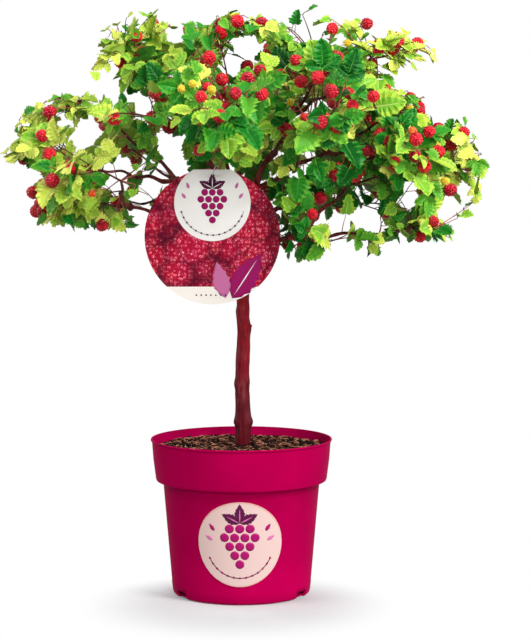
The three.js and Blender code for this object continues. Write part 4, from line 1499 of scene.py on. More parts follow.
@dataclass(frozen=True)
class Silhouette:
    """The crown's outline from the front: its top and underside by places across, and its gaps."""

    eye_distance: float = 2600.0
    eye_height: float = 552.0
    top: tuple[tuple[float, float], ...] = (
        (-300, 548), (-286, 570), (-274, 598), (-238, 612), (-212, 622), (-196, 618), (-190, 654),
        (-182, 666), (-174, 700), (-160, 712), (-131, 722), (-105, 728), (-94, 712), (-82, 704), (-74, 712),
        (-46, 714), (-38, 704), (-32, 716), (-20, 727), (-4, 727), (8, 720), (20, 718), (50, 706),
        (60, 712), (68, 731), (96, 731), (104, 712), (144, 717), (177, 712), (208, 698), (226, 688),
        (244, 670), (250, 656), (254, 594), (276, 596), (302, 546), (307, 530),
    )
    underside: tuple[tuple[float, float], ...] = (
        (-300, 532), (-266, 530), (-260, 456), (-134, 446), (-60, 430), (48, 428), (52, 408), (100, 408),
        (108, 434), (155, 434), (160, 410), (174, 410), (180, 436), (262, 434), (268, 464), (296, 477),
        (306, 508),
    )
    # Across, height and radius of each gap that the sky shows through.
    gaps: tuple[tuple[float, float, float], ...] = (
        (-188, 577, 13), (-88, 556, 12), (-124, 604, 12), (6, 678, 10), (-14, 655, 11), (-112, 509, 9),
        (-165, 620, 9), (-146, 533, 8), (157, 466, 13), (209, 490, 12), (122, 456, 10), (122, 681, 7),
        (-226, 560, 6), (104, 466, 7), (55, 659, 5), (-157, 651, 7), (-157, 514, 6), (-76, 536, 6),
        (240, 634, 16), (76, 692, 9), (94, 690, 6), (-218, 642, 12), (-224, 593, 6), (-258, 524, 6),
        (277, 500, 8), (157, 684, 6), (243, 592, 7), (216, 634, 11), (238, 608, 10), (254, 471, 9),
        (169, 699, 7), (172, 661, 6), (-187, 629, 6), (-83, 690, 7), (-124, 708, 6), (-199, 553, 6),
        (224, 654, 7), (82, 709, 6),
    )

    def seen(self, points: Points) -> tuple[Points, Points]:
        """How far across and how high points look from the front."""
        nearer = self.eye_distance / (self.eye_distance + points[:, 1])
        return points[:, 0] * nearer, self.eye_height + (points[:, 2] - self.eye_height) * nearer

    def holds(self, points: Points) -> bool:
        """Whether points are between the crown's top and its underside and out of its gaps.

        Args:
            points: The points.

        Returns:
            Whether all of them are.
        """
        across, up = self.seen(points)
        above = np.interp(across, *zip(*self.underside))
        below = np.interp(across, *zip(*self.top))
        if np.any((up < above) | (up > below)):
            return False
        return not self._in_gap(across, up, 1.0)

    def place(self, across: float, up: float, depth: float) -> Point:
        """The place at a depth that looks so far across and so high from the front."""
        nearer = self.eye_distance / (self.eye_distance + depth)
        return vec(across / nearer, depth, self.eye_height + (up - self.eye_height) / nearer)

    def crosses(self, points: Points) -> bool:
        """Whether points run through the middle of a gap."""
        return self._in_gap(*self.seen(points), 0.65)

    def _in_gap(self, across: Points, up: Points, share: float) -> bool:
        """Whether any place across and up is within a share of a gap's radius of its middle."""
        x, z, radius = np.array(self.gaps).T
        return bool(np.any(np.hypot(across[:, None] - x, up[:, None] - z) < share * radius))


@dataclass
class CrownRules:
    """The sizes that the masses grow by."""

    clearance: float = 0.3
    heart: float = 520.0
    lean: float = 0.5
    reach: float = 307.0
    top: float = 731.0
    middle: float = 530.0
    underside: float = 406.0
    flatness: float = 3.0
    card_x: float = -35.3
    card_height: float = 443.6
    card_radius: float = 83.4
    label_front: float = -7.6
    label_margin: float = 6.0
    stem_tip: float = 1.3
    tries: int = 18
    twig_between: tuple[float, float] = (0.1, 0.94)
    twig_length: tuple[float, float] = (40.0, 66.0)
    twig_radius: float = 1.15
    twig_tip: float = 0.6
    cuts: tuple[float, ...] = (1.0, 0.7, 0.42)
    leaf_cuts: tuple[float, ...] = (1.0, 0.8, 0.6)
    end_cuts: tuple[float, ...] = (1.0, 0.8, 0.65, 0.65, 0.55, 0.55, 0.5, 0.5)
    leaf_length: tuple[float, float] = (44.0, 60.0)
    apart: float = 6.0
    leaf_clear: float = 2.5
    stalk: float = 17.0
    fruit_per_mass: int = 16
    fruit_apart: float = 24.0
    pair_apart: float = 14.0
    pair_share: float = 0.5
    shoots: int = 2
    spurs: tuple[int, int] = (8, 13)
    spur_between: tuple[float, float] = (0.16, 0.97)
    leader_step: float = 12.0
    leader_sides: tuple[float, float] = (-294.0, 302.0)
    leader_heights: tuple[float, float] = (440.0, 700.0)
    leader_apart: tuple[float, float] = (11.0, 26.0)
    leader_inset: tuple[float, float] = (3.0, 16.0)
    leader_leaf: tuple[float, float] = (26.0, 46.0)
    spur_length: tuple[float, float] = (16.0, 44.0)
    silhouette: Silhouette = Silhouette()
    # The stretches of boughs that nothing hangs in front of, as shares of their length.
    in_view: tuple[tuple[str, float, float], ...] = (
        ("bough_upright_right", 0.14, 0.3), ("bough_upright_right", 0.38, 0.54),
        ("bough_upright_right", 0.76, 0.94), ("bough_right_mid", 0.36, 0.56),
        ("bough_right_mid", 0.8, 0.95), ("bough_right_low", 0.4, 0.56), ("bough_right_low", 0.8, 0.94),
        ("bough_top_right", 0.3, 0.5), ("bough_left_high", 0.3, 0.6), ("bough_left_high", 0.8, 0.94),
        ("bough_left_low", 0.62, 0.9), ("bough_left_mid", 0.2, 0.6), ("bough_centre_left", 0.2, 0.4),
    )
    view_margin: float = 4.8


class Space:
    """The space that a mass keeps to, and how far its points stay from the limbs."""

    def __init__(self, rules: CrownRules, wood: Wood, middle: Point, others: Sequence[Point]) -> None:
        """Keeps the planes halfway to the other masses and the limbs' stretches.

        Args:
            rules: The crown's rules.
            wood: The trunk and the boughs.
            middle: The mass's middle.
            others: The middles of the other masses.
        """
        self.rules = rules
        self.middle = middle
        gaps = np.reshape(np.array(others, float), (-1, 3)) - middle
        halves = np.linalg.norm(gaps, axis=1) / 2
        self.normals = gaps / (2 * halves[:, None])
        self.reaches = halves - rules.clearance
        self.fork_x = wood.fork_x
        self.starts, self.ends, self.radii = wood.segments()
        self.ways = self.ends - self.starts
        self.squares = np.maximum(1e-9, np.einsum("ij,ij->i", self.ways, self.ways))
        self.in_view = np.array([
            wood.paths[name].at(share)
            for name, first, last in rules.in_view
            for share in np.linspace(first, last, 14)
        ])
        self.in_view_at = rules.silhouette.seen(self.in_view)

    def holds(self, points: Points) -> bool:
        """Whether points are in the space, under the crown's dome and off the label.

        Args:
            points: The points.

        Returns:
            Whether all of them are.
        """
        rules = self.rules
        if np.any((points - self.middle) @ self.normals.T > self.reaches):
            return False
        if np.any(points[:, 2] < rules.underside):
            return False
        if not rules.silhouette.holds(points) or self._hides(points):
            return False
        across = np.hypot(points[:, 0] - self.fork_x, points[:, 1]) / rules.reach
        rise = np.maximum(0.0, points[:, 2] - rules.middle) / (rules.top - rules.middle)
        if np.any(across**rules.flatness + rise**rules.flatness > 1.0):
            return False
        aside = np.hypot(points[:, 0] - rules.card_x, points[:, 2] - rules.card_height)
        before = points[:, 1] <= rules.label_front + rules.label_margin
        return not np.any(before & (aside <= rules.card_radius + rules.label_margin))

    def _hides(self, points: Points) -> bool:
        """Whether points hang in front of a bough that stays in view.

        Args:
            points: The points.

        Returns:
            Whether any of them does.
        """
        across, up = self.rules.silhouette.seen(points)
        beside = np.hypot(across[:, None] - self.in_view_at[0], up[:, None] - self.in_view_at[1])
        before = points[:, 1, None] < self.in_view[:, 1]
        return bool(np.any((beside < self.rules.view_margin) & before))

    def clears(self, points: Points, margin: float) -> bool:
        """Whether points keep a margin from every limb.

        Args:
            points: The points.
            margin: The least gap.

        Returns:
            Whether all of them do.
        """
        gaps = points[:, None, :] - self.starts[None]
        shares = np.clip(np.einsum("ijk,jk->ij", gaps, self.ways) / self.squares, 0.0, 1.0)
        feet = self.starts[None] + shares[..., None] * self.ways[None]
        distances = np.linalg.norm(points[:, None, :] - feet, axis=2) - self.radii
        return bool(np.all(distances > margin))


# Patches of darker greens, painted shade with older leaves, and of lighter greens, painted light with younger
# leaves: across, height, reach and by how much, more for darker.
MOOD_SPOTS = (
    (-108, 636, 55, 1.8), (56, 694, 40, 1.4), (-20, 690, 40, -0.7), (45, 568, 50, -0.9), (190, 690, 50, -0.6),
    (-150, 540, 60, -1.2), (130, 460, 40, -1.0),
)


@dataclass
class Grower:
    """What lays leaves, twigs and berries where there is room for them."""

    index: int
    wood: Wood
    bough: str
    rules: CrownRules
    crown: "Crown"
    taken: list[Point] = field(default_factory=list)
    fruits: int = 0

    def _outward(self, point: Point) -> Point:
        """The way out of the crown at a point, leaning upwards."""
        out = unit(point - vec(self.wood.fork_x, 0.0, self.rules.heart))
        return unit(out + UP * self.rules.lean)

    def _facing(self, point: Point) -> Point:
        """The way that leaves face at a point: out and up, and to the front or the back rather than aside."""
        turned = vec(0.0, -0.4 if point[1] < 40.0 else 0.4, 0.0)
        return unit(self._outward(point) * (0.6, 1.0, 1.0) + turned)

    def _mood(self, point: Point) -> int:
        """How light or dark a spray's greens are, from 0 for the lightest: partly the leaves' age and partly
        painted light and shade, lighter towards the outside and the top, darker inside, lower down and to the
        right.

        Args:
            point: Where it grows.

        Returns:
            The number of the mood, from the lightest greens to the darkest.
        """
        far = float(np.hypot(point[0] - self.wood.fork_x, 0.4 * point[1])) / self.rules.reach
        high = (point[2] - 430.0) / 300.0
        patch = noise.noise(Vector(point * 0.014)) * 2.6
        right = (point[0] - self.wood.fork_x) / self.rules.reach
        spots = sum(
            more * exp(-((point[0] - x) ** 2 + (point[2] - z) ** 2) / reach**2)
            for x, z, reach, more in MOOD_SPOTS
        )
        # Painted light and shade together with the leaves' age: the place, the painted patches and a random
        # share give the step.
        age_and_shade = 6.6 - 3.8 * far - 3.0 * high + 0.9 * right + patch + spots + self.extra.between(-2.1, 2.1)
        return int(min(7, max(0, round(age_and_shade))))

    def _draw_leaf(self, draw: Draw | None = None) -> tuple[float, Point, float]:
        """The draws of one leaf: its length, how it is tilted and how far it droops."""
        draw = draw or self.draw
        return draw.between(*self.rules.leaf_length), draw.jolt(0.55), draw.between(0.0, 0.35)

    def _leaf_points(self, base: Point, ahead: Point, facing: Point, length: float) -> Points:
        """Points spread over a leaf, to test what it would touch.

        Args:
            base: Where its stalk starts.
            ahead: The direction that it runs in.
            facing: The way that its upper face looks.
            length: Its length.

        Returns:
            The points.
        """
        right, up = frame_of(ahead, facing)
        rim = base + ahead * 0.45 * length + up * 0.07 * length
        sides = [rim + right * sign * 0.31 * length for sign in (-1, 1)]
        tip = base + ahead * length
        spread = [rim, tip, *sides, (rim + tip) / 2, (rim + sides[0]) / 2, (rim + sides[1]) / 2]
        rest = [mix(side, tip, 0.4) for side in sides] + [mix(base, side, 0.6) for side in sides]
        return np.array(spread + rest)

    def _fits(self, base: Point, ahead: Point, facing: Point, length: float, apart: float) -> bool:
        """Whether a leaf may stay: in its space, clear of limbs and apart from the leaves before it.

        Args:
            base: Where its stalk starts.
            ahead: The direction that it runs in.
            facing: The way that its upper face looks.
            length: Its length.
            apart: The least gap to the leaves before it.

        Returns:
            Whether it may stay.
        """
        points = self._leaf_points(base, ahead, facing, length)
        if self.taken:
            gaps = np.linalg.norm(np.array(self.taken)[None] - points[:7, None], axis=2)
            if np.any(gaps < apart):
                return False
        return self.space.holds(points) and self.space.clears(points, self.rules.leaf_clear)

    def _side_leaf(
        self, base: Point, tangent: Point, side: int, fits: bool, mood: int, draw: Draw | None = None
    ) -> None:
        """A leaf beside a twig or the stem, where there is room.

        Args:
            base: Where its stalk starts.
            tangent: The direction of the twig.
            side: 1 or -1 for the twig's two sides.
            fits: Whether the twig is there to carry it.
            mood: How dark the leaves' greens are, from 0 for the lightest: their age and painted shade.
            draw: Its random draws, or nothing for the mass's own.
        """
        length, tilt, droop = self._draw_leaf(draw)
        facing = unit(self._facing(base) + tilt)
        aside = unit(np.cross(tangent, facing))
        ahead = unit(tangent * cos(1.25) + aside * side * sin(1.25) - UP * droop)
        for cut in self.rules.leaf_cuts if fits else ():
            if self._fits(base, ahead, facing, cut * length, self.rules.apart):
                self._lay_spray(base, ahead, facing, cut * length, mood)
                return

    def _end_leaf(self, stem: Stem, facing: Point, length: float) -> bool:
        """The leaf at a stem's end, where there is room however it is turned.

        Args:
            stem: The stem.
            facing: The way that its upper face looks.
            length: Its length.

        Returns:
            Whether there was room.
        """
        for cut in self.rules.end_cuts:
            ahead = unit(stem.tangent(1.0) + self.extra.jolt(1.0) * (1.0 - cut))
            if self._fits(stem.end, ahead, facing, cut * length, self.rules.apart * 0.5):
                self._lay_spray(stem.end, ahead, facing, cut * length, self._mood(stem.end))
                return True
        return False

    def _fine_shoot(self, foot: Point, ahead: Point, length: float, size: float, mood: int) -> bool:
        """A fine shoot with a leaf at its end, where there is room, and perhaps a berry.

        Args:
            foot: Where it leaves the wood.
            ahead: The direction that it runs in.
            length: Its length.
            size: The leaf's length.
            mood: How dark the leaves' greens are, from 0 for the lightest: their age and painted shade.

        Returns:
            Whether there was room.
        """
        draw, tip, half = self.extra, foot + ahead * length, foot + ahead * length * 0.5
        facing = unit(self._facing(tip) + draw.jolt(0.6))
        way = unit(ahead - UP * draw.between(0.0, 0.5))
        if not self._fits(tip, way, facing, size, self.rules.apart * 0.8):
            return False
        self._add_twig_tube([foot, half + UP * 1.5, tip], 0.75 if length > 30 else 0.6, 0.4, 2)
        self._lay_spray(tip, way, facing, size, mood)
        self._fruit(half, draw() < 0.95, draw)
        return True

    def _fruit(self, start: Point, fits: bool, draw: Draw | None = None) -> None:
        """A berry on a short bent stalk, out of the crown, where there is room.

        Args:
            start: Where its stalk starts.
            fits: Whether the twig is there to carry it.
            draw: Its random draws, or nothing for the mass's own.
        """
        rules, shared = self.rules, draw is None
        draw = draw or self.draw
        way = vec(draw.between(-0.6, 0.6), draw.between(-0.6, 0.6), draw.between(-0.9, 0.3))
        stalk, size = rules.stalk * draw.between(0.8, 1.25), draw.between(0.86, 1.1)
        way = unit(way + self._outward(start) * 1.1)
        middle = start + way * (stalk + 7.0 * size)
        level, raised = across_of(way)
        around = middle + 10.5 * vec(level, raised, -level, -raised, way)
        free = fits and (shared or self.fruits < rules.fruit_per_mass)
        if free and self.taken:
            off_leaves = 10.6 if shared else 7.4
            free = np.min(np.linalg.norm(np.array(self.taken) - middle, axis=1)) >= off_leaves
        free = free and self.space.holds(around) and self.space.clears(middle[None], 9.6)
        if free and self.crown.has_room(middle, self.extra):
            self.crown.add_berry(start, way, stalk, size, self.extra)
            self.taken.append(middle)
            self.fruits += 1

    def _add_twig_tube(self, path: Sequence[Point], thick: float, thin: float, order: int) -> None:
        """A round twig in bough bark when thick, and in twig bark or a red shoot's finish when fine.

        Args:
            path: The points along it.
            thick: Its radius at the start.
            thin: Its radius at the end.
            order: Its finish: 0 for wood, and up to 3 for fine shoots.
        """
        radii = [mix(thick, thin, k / (len(path) - 1)) for k in range(len(path))]
        finish = 0 if order == 0 else (1 if self.extra() < 0.7 else 2)
        self.crown.twigs.add(*tube(np.array(path), radii, 8 if order == 0 else 5), finish)

    def _lay_spray(self, base: Point, ahead: Point, facing: Point, length: float, mood: int) -> None:
        """A leaf on its stalk: one lobed or toothed blade, or three leaflets."""
        self.taken.extend(self._leaf_points(base, ahead, facing, length)[:7])
        self.crown.add_spray(self.index, base, ahead, facing, length, mood, self.extra)


@dataclass
class Mass(Grower):
    """One mass of twigs, leaves and berries that grows by rule from its bough's tip."""

    end: Point | None = None

    def __post_init__(self) -> None:
        """Works out its stem's start and its own middle."""
        path = self.wood.paths[self.bough]
        self.start = path.at(1.0) + path.tangent(1.0) * self.rules.clearance
        self.middle = self.start + (self.end - self.start) * 0.62

    def grow(self, space: Space) -> None:
        """Grows the stem, its twigs and what they carry.

        Args:
            space: The space that it keeps to.
        """
        self.space = space
        self.draw, self.extra = Draw(101 + 7 * self.index), Draw(5003 + 11 * self.index)
        reach = float(np.linalg.norm(self.end - self.start))
        knee = self.start + self.wood.paths[self.bough].tangent(1.0) * 0.5 * reach
        thick = 0.95 * self.wood.radii[self.bough](1.0)
        self.stem = stem = Stem(self.start, knee, self.end, thick, self.rules.stem_tip)
        length, tilt, _ = self._draw_leaf()
        self.last = 1.0 if self._end_leaf(stem, unit(self._facing(stem.end) + tilt), length) else 0.3
        for k in range(self.rules.tries):
            self.last = max(self.last, self._grow_twig(stem, k))
        reached = [stem.at(self.last * k / 9) for k in range(10)]
        slim = self.wood.slender[1]
        self._add_twig_tube(reached, stem.thick * slim, stem.radius(self.last) * slim, 0)
        for side, share in ((1, 0.84), (-1, 0.66), (1, 0.48)):
            place, mood = stem.at(share), self._mood(stem.at(share))
            self._side_leaf(place, stem.tangent(share), side, share <= self.last, mood)

    def _grow_twig(self, stem: Stem, k: int) -> float:
        """Grows a twig that ends in a leaf, where it fits.

        Args:
            stem: The stem that it leaves.
            k: Its place among the tries.

        Returns:
            How far along the stem it leaves, or 0 where it doesn't fit.
        """
        draw, rules = self.draw, self.rules
        share = mix(*rules.twig_between, (k + draw()) / rules.tries)
        turn = k * GOLDEN_ANGLE + draw.between(-0.4, 0.4)
        splay = draw.between(0.75, 1.15)
        length = draw.between(*rules.twig_length) * (1 - 0.3 * share)
        size, tilt, droop = self._draw_leaf()
        start, tangent = stem.at(share), stem.tangent(share)
        way = unit(tangent * cos(splay) + square_to(tangent, turn) * sin(splay) + UP * 0.25)
        mood = self._mood(start + way * length)
        ahead = unit(way - UP * droop)
        reach = 0.0
        for far in (cut * length for cut in rules.cuts):
            tip = start + way * far
            facing = unit(self._facing(tip) + tilt)
            if self._twig_fits(start, way, far) and self._fits(tip, ahead, facing, size, rules.apart):
                reach = far
                break
        if reach:
            bow = np.cross(way, UP) * self.extra.between(-3.0, 3.0) + UP * self.extra.between(-3.0, 1.5)
            path = [start + way * reach * s + bow * sin(pi * s) for s in np.linspace(0.0, 1.0, 6)]
            self._add_twig_tube(path, min(rules.twig_radius, 0.46 * stem.radius(share)), rules.twig_tip, 1)
            self._lay_spray(tip, ahead, facing, size, mood)
        far = reach or length
        self._side_leaf(start + way * far * 0.84, way, 1, bool(reach), mood)
        self._side_leaf(start + way * far * 0.5, way, -1, bool(reach), mood)
        self._fruit(start + way * far * 0.7, bool(reach))
        if reach:
            self._finer_shoots(start, way, reach, mood)
        return share if reach else 0.0

    def _twig_fits(self, start: Point, way: Point, reach: float) -> bool:
        """Whether a bare twig of this reach has room.

        Args:
            start: Where it starts.
            way: Its direction.
            reach: Its length.

        Returns:
            Whether it has room.
        """
        bare = np.array([start + way * reach * share for share in (0.3, 0.6, 1.0)])
        path = np.linspace(start, start + way * reach, 6)
        return self.space.clears(bare, 3.0) and not self.rules.silhouette.crosses(path)

    def _finer_shoots(self, start: Point, way: Point, reach: float, mood: int) -> None:
        """Shoots too fine for the solid, with small leaves and berries of their own.

        Args:
            start: Where it starts.
            way: Its direction.
            reach: Its length.
            mood: How dark the leaves' greens are, from 0 for the lightest: their age and painted shade.
        """
        draw = self.extra
        for _ in range(self.rules.shoots):
            foot = start + way * reach * draw.between(0.25, 0.95)
            ahead = unit(way * 0.5 + square_to(way, draw.between(0.0, 2 * pi)) + self._outward(foot) * 0.5)
            self._fine_shoot(foot, ahead, draw.between(16.0, 30.0), draw.between(26.0, 40.0), mood)
        for share in (0.35, 0.95):
            self._fruit(start + way * reach * share, True, draw)


@dataclass
class Spurs(Grower):
    """Short side shoots along one bough, with leaves and berries."""

    def grow(self, space: Space) -> None:
        """Grows them from the bough's inner part to its tip.

        Args:
            space: The space that it keeps to.
        """
        self.space = space
        draw = self.extra = Draw(7001 + 13 * self.index)
        path, rules = self.wood.paths[self.bough], self.rules
        few, many = rules.spurs
        tries = many if path.at(1.0)[0] > self.wood.fork_x else few
        for k in range(tries):
            share = mix(*rules.spur_between, (k + draw()) / tries)
            foot, tangent = path.at(share), path.tangent(share)
            turn = k * GOLDEN_ANGLE + draw.between(-0.4, 0.4)
            ahead = unit(tangent * 0.5 + square_to(tangent, turn) + UP * 0.2)
            length, size = draw.between(*rules.spur_length), draw.between(30.0, 48.0)
            mood = self._mood(foot)
            if self._fine_shoot(foot, ahead, length, size, mood):
                side = 1 if k % 2 else -1
                self._side_leaf(foot + ahead * length * 0.6, ahead, side, length > 26, mood, draw)


@dataclass
class Leader(Grower):
    """A longer shoot that fills out the crown, from the nearest wood to its tip, with leaves along it."""

    tip: Point | None = None
    number: int = 0

    def grow(self, space: Space, start: Point, tangent: Point, radius: float) -> None:
        """Grows it.

        Args:
            space: The space that it keeps to.
            start: Where it springs from.
            tangent: The way that the wood runs there.
            radius: How thick the wood is there.
        """
        self.space = space
        draw = self.extra = Draw(9001 + 17 * self.number)
        reach = self.tip - start
        length = float(np.linalg.norm(reach))
        bend = 0.15 if float(reach @ tangent) > 0.0 else 0.0
        knee = (start + self.tip) / 2 + tangent * bend * length + UP * 0.05 * length
        stem = Stem(start, knee, self.tip, min(1.1, 0.5 * radius), 0.45)
        if self.rules.silhouette.crosses(np.array([stem.at(k / 12) for k in range(13)])):
            return
        facing = unit(self._facing(stem.end) + vec(0.0, -0.3, 0.0))
        last = 1.0 if self._end_leaf(stem, facing, draw.between(34.0, 46.0)) else 0.0
        steps = max(3, int(length / self.rules.leader_step))
        for k in range(steps):
            share = mix(0.25, 1.0, (k + draw()) / steps)
            foot, ahead = stem.at(share), stem.tangent(share)
            for attempt in range(5):
                way = unit(ahead * 0.6 + square_to(ahead, 2.4 * k + 1.4 * attempt + draw.between(-0.4, 0.4)))
                size = draw.between(*self.rules.leader_leaf) * (1.0 - 0.08 * attempt)
                if self._fine_shoot(foot, way, draw.between(3.0, 9.0), size, self._mood(foot)):
                    last = max(last, share)
                    break
        if last > 0.0:
            self._add_twig_tube([stem.at(last * k / 8) for k in range(9)], stem.thick, stem.thin, 1)


@dataclass
class Crown:
    """Every mass of the crown, its leaves, twigs and berries joined each kind apart."""

    wood: Wood
    rules: CrownRules = field(default_factory=CrownRules)
    cutter: LeafCutter = field(default_factory=LeafCutter)
    berries: BerryMaker = field(default_factory=BerryMaker)
    twigs: Draft = field(default_factory=Draft)
    leaf_groups: tuple[tuple[str, tuple[int, ...]], ...] = (
        ("leaves_top", (0, 1, 9, 11, 21, 22)),
        ("leaves_left", (2, 3, 14, 15, 12)),
        ("leaves_right", (4, 8, 16, 18, 17, 10)),
        ("leaves_back", (5, 6, 7, 19, 20, 13)),
    )
    petiole: float = 0.2
    compound: float = 0.5
    ripe_shares: tuple[float, float, float] = (0.58, 0.84, 0.91)

    def __post_init__(self) -> None:
        """Starts a draft for each group of leaves and of berries."""
        self.leaves = {name: Draft() for name, _ in self.leaf_groups}
        self.draft_of = {index: self.leaves[name] for name, members in self.leaf_groups for index in members}
        self.fruit = {f"berries_{place}": Draft() for place in ("left", "front", "right", "back")}
        self.counts = {"leaves": 0, "berries": 0}
        self.places: list[Point] = []

    def build(self) -> None:
        """Grows all masses, then makes and dresses the pieces."""
        masses = [
            Mass(index, self.wood, bough, self.rules, self, end=self.wood.crown_point(heading, reach, height))
            for index, (_, bough, heading, reach, height) in enumerate(MASSES)
        ]
        for mass in masses:
            others = [other.middle for other in masses if other is not mass]
            mass.grow(Space(self.rules, self.wood, mass.middle, others))
        taken = [point for mass in masses for point in mass.taken]
        open_space = Space(self.rules, self.wood, masses[0].middle, [])
        for leader, place in self._place_leaders(masses, taken):
            leader.grow(open_space, *place)
        for mass in masses:
            Spurs(mass.index, self.wood, mass.bough, self.rules, self, taken).grow(open_space)
        log.info("%d leaves and %d berries", self.counts["leaves"], self.counts["berries"])
        for name, members in self.leaf_groups:
            piece = self.leaves[name].piece(name, GREENS, 28.0)
            settle(piece, "foliage", *(f"foliage_{MASSES[index][0]}" for index in members))
        settle(self.twigs.piece("twigs", [BOUGH_BARK, TWIG_BARK, SHOOT_RED, SHOOT_GREEN]), "bough_bark")
        for name, draft in self.fruit.items():
            settle(draft.piece(name, berry_finishes(), 60.0), "foliage")

    def _place_leaders(self, masses: Sequence[Mass], taken: list[Point]) -> list[tuple[Leader, tuple]]:
        """Every leader with the place, the way and the radius of the wood nearest to its tip.

        Args:
            masses: The masses of the crown.
            taken: The places of all leaves and berries so far.

        Returns:
            The leaders, each with its place.
        """
        sources = [
            (mass.stem.at(share), mass.stem.tangent(share), mass.stem.radius(share), mass)
            for mass in masses
            for share in np.linspace(0.1, mass.last, 8)
        ]
        for mass in masses:
            path, radius = self.wood.paths[mass.bough], self.wood.radii[mass.bough]
            sources += [(path.at(s), path.tangent(s), radius(s), mass) for s in np.linspace(0.2, 1.0, 9)]
        places = np.array([source[0] for source in sources])
        leaders = []
        for number, tip in enumerate(self._leader_tips()):
            *place, mass = sources[int(np.argmin(np.linalg.norm(places - tip, axis=1)))]
            own = (mass.index, self.wood, mass.bough, self.rules, self, taken)
            leaders.append((Leader(*own, tip=tip, number=number), tuple(place)))
        return leaders

    def _leader_tips(self) -> list[Point]:
        """Where the leaders end: close under the crown's top, above its underside, and over its face.

        Returns:
            The tips.
        """
        rules, outline, draw = self.rules, self.rules.silhouette, Draw(411)
        edge_step, face_step = rules.leader_apart
        tips = []
        for x in np.arange(*rules.leader_sides, edge_step):
            for line, inward in ((outline.top, -1.0), (outline.underside, 1.0)):
                up = float(np.interp(x, *zip(*line))) + inward * draw.between(*rules.leader_inset)
                tips.append(outline.place(x, up, draw.between(-60.0, 24.0)))
        for x in np.arange(*rules.leader_sides, face_step):
            for up in np.arange(*rules.leader_heights, face_step):
                aside, rise = draw.between(-9.0, 9.0), draw.between(-9.0, 9.0)
                depth = draw.between(-130.0, -20.0) * (1.0 - (x / rules.reach) ** 2)
                tips.append(outline.place(x + aside, up + rise, depth))
        return [tip for tip in tips if outline.holds(tip[None])]

    def add_spray(
        self, index: int, base: Point, ahead: Point, facing: Point, length: float, mood: int, draw: Draw
    ) -> None:
        """Adds a leaf of one blade or three leaflets on its stalk.

        Args:
            index: The mass that it belongs to.
            base: Where its stalk leaves the twig.
            ahead: The way that it points.
            facing: The way that its upper side faces.
            length: How far it reaches.
            mood: How dark its greens are, from 0 for the lightest: its age and painted shade.
            draw: What its shape is drawn from.
        """
        draft = self.draft_of[index]
        right, up = frame_of(ahead, facing)
        # The step from light to dark greens paints shade as well as giving the leaf's age.
        age_and_shade = min(len(LEAF_COLOURS) - 1, max(0, mood + round(draw.between(-1.6, 1.6))))
        colours = [GREEN_INDEX[green] for green in LEAF_COLOURS[age_and_shade]]
        stalk = self.petiole * length
        hinge = base + ahead * stalk - up * 0.02 * length
        path = np.array([base, base + ahead * 0.5 * stalk + up * 0.4, hinge])
        self.twigs.add(*tube(path, (0.5, 0.42, 0.4), 4), 2 if draw() < 0.5 else 3)
        blade = length - stalk
        if draw() < self.compound and length > 30:
            end = hinge + ahead * 0.1 * blade
            self.cutter.lay(draft, LeafKind.OVAL, end, ahead, facing, 0.66 * blade, colours, draw)
            for side in (-1, 1):
                way = unit(ahead * draw.between(0.3, 0.6) + right * side + up * draw.between(-0.2, 0.25))
                tilted = unit(facing + right * side * draw.between(-0.35, 0.2))
                kind = draw.pick((LeafKind.OVAL, LeafKind.OVAL, LeafKind.SLIM))
                size = draw.between(0.46, 0.6) * blade
                self.cutter.lay(draft, kind, hinge, way, tilted, size, colours, draw)
            self.counts["leaves"] += 3
        else:
            large = (LeafKind.LOBED, LeafKind.BROAD, LeafKind.LOBED, LeafKind.OVAL)
            small = (LeafKind.OVAL, LeafKind.BROAD, LeafKind.LOBED)
            kind, size = draw.pick(large if length > 30 else small), draw.between(0.62, 0.82) * blade
            self.cutter.lay(draft, kind, hinge, ahead, facing, size, colours, draw)
            self.counts["leaves"] += 1

    def has_room(self, place: Point, draw: Draw) -> bool:
        """Whether a berry would hang alone, or make a pair with one other.

        Args:
            place: The berry's middle.
            draw: The random draws.

        Returns:
            Whether it may hang there.
        """
        rules = self.rules
        if self.places:
            near, *others = np.sort(np.linalg.norm(np.array(self.places) - place, axis=1))[:2]
            paired = near > rules.pair_apart and not any(other < rules.fruit_apart for other in others)
            if near < rules.fruit_apart and not (paired and draw() < rules.pair_share):
                return False
        self.places.append(place)
        return True

    def add_berry(self, start: Point, way: Point, stalk: float, size: float, draw: Draw) -> None:
        """Adds a berry on a bent stalk.

        Args:
            start: Where its stalk leaves the twig.
            way: The way that its stalk sets off.
            stalk: How long the stalk is.
            size: How big the berry is.
            draw: What its ripeness and its bend are drawn from.
        """
        top = start + way * stalk
        ripeness = int(np.searchsorted(self.ripe_shares, draw(), "right"))
        place = ("back" if top[1] > 60.0 else "left") if top[0] < self.wood.fork_x else "right"
        draft = self.fruit["berries_front" if top[1] < -140.0 else f"berries_{place}"]
        bend = vec(draw.between(-1.5, 1.5), draw.between(-1.5, 1.5), draw.between(0.0, 2.5))
        path = np.array([start + way * stalk * s + bend * sin(pi * s) for s in np.linspace(0.0, 1.0, 5)])
        last = len(RIPENESSES) * self.berries.finish_count
        draft.add(*tube(path, (0.55, 0.5, 0.5, 0.5, 0.7), 5), last + (2 if draw() < 0.55 else 3))
        hang = unit(unit(path[-1] - path[-2]) - UP * draw.between(0.0, 0.3))
        self.berries.hang(draft, top, hang, size, ripeness, draw)
        self.counts["berries"] += 1


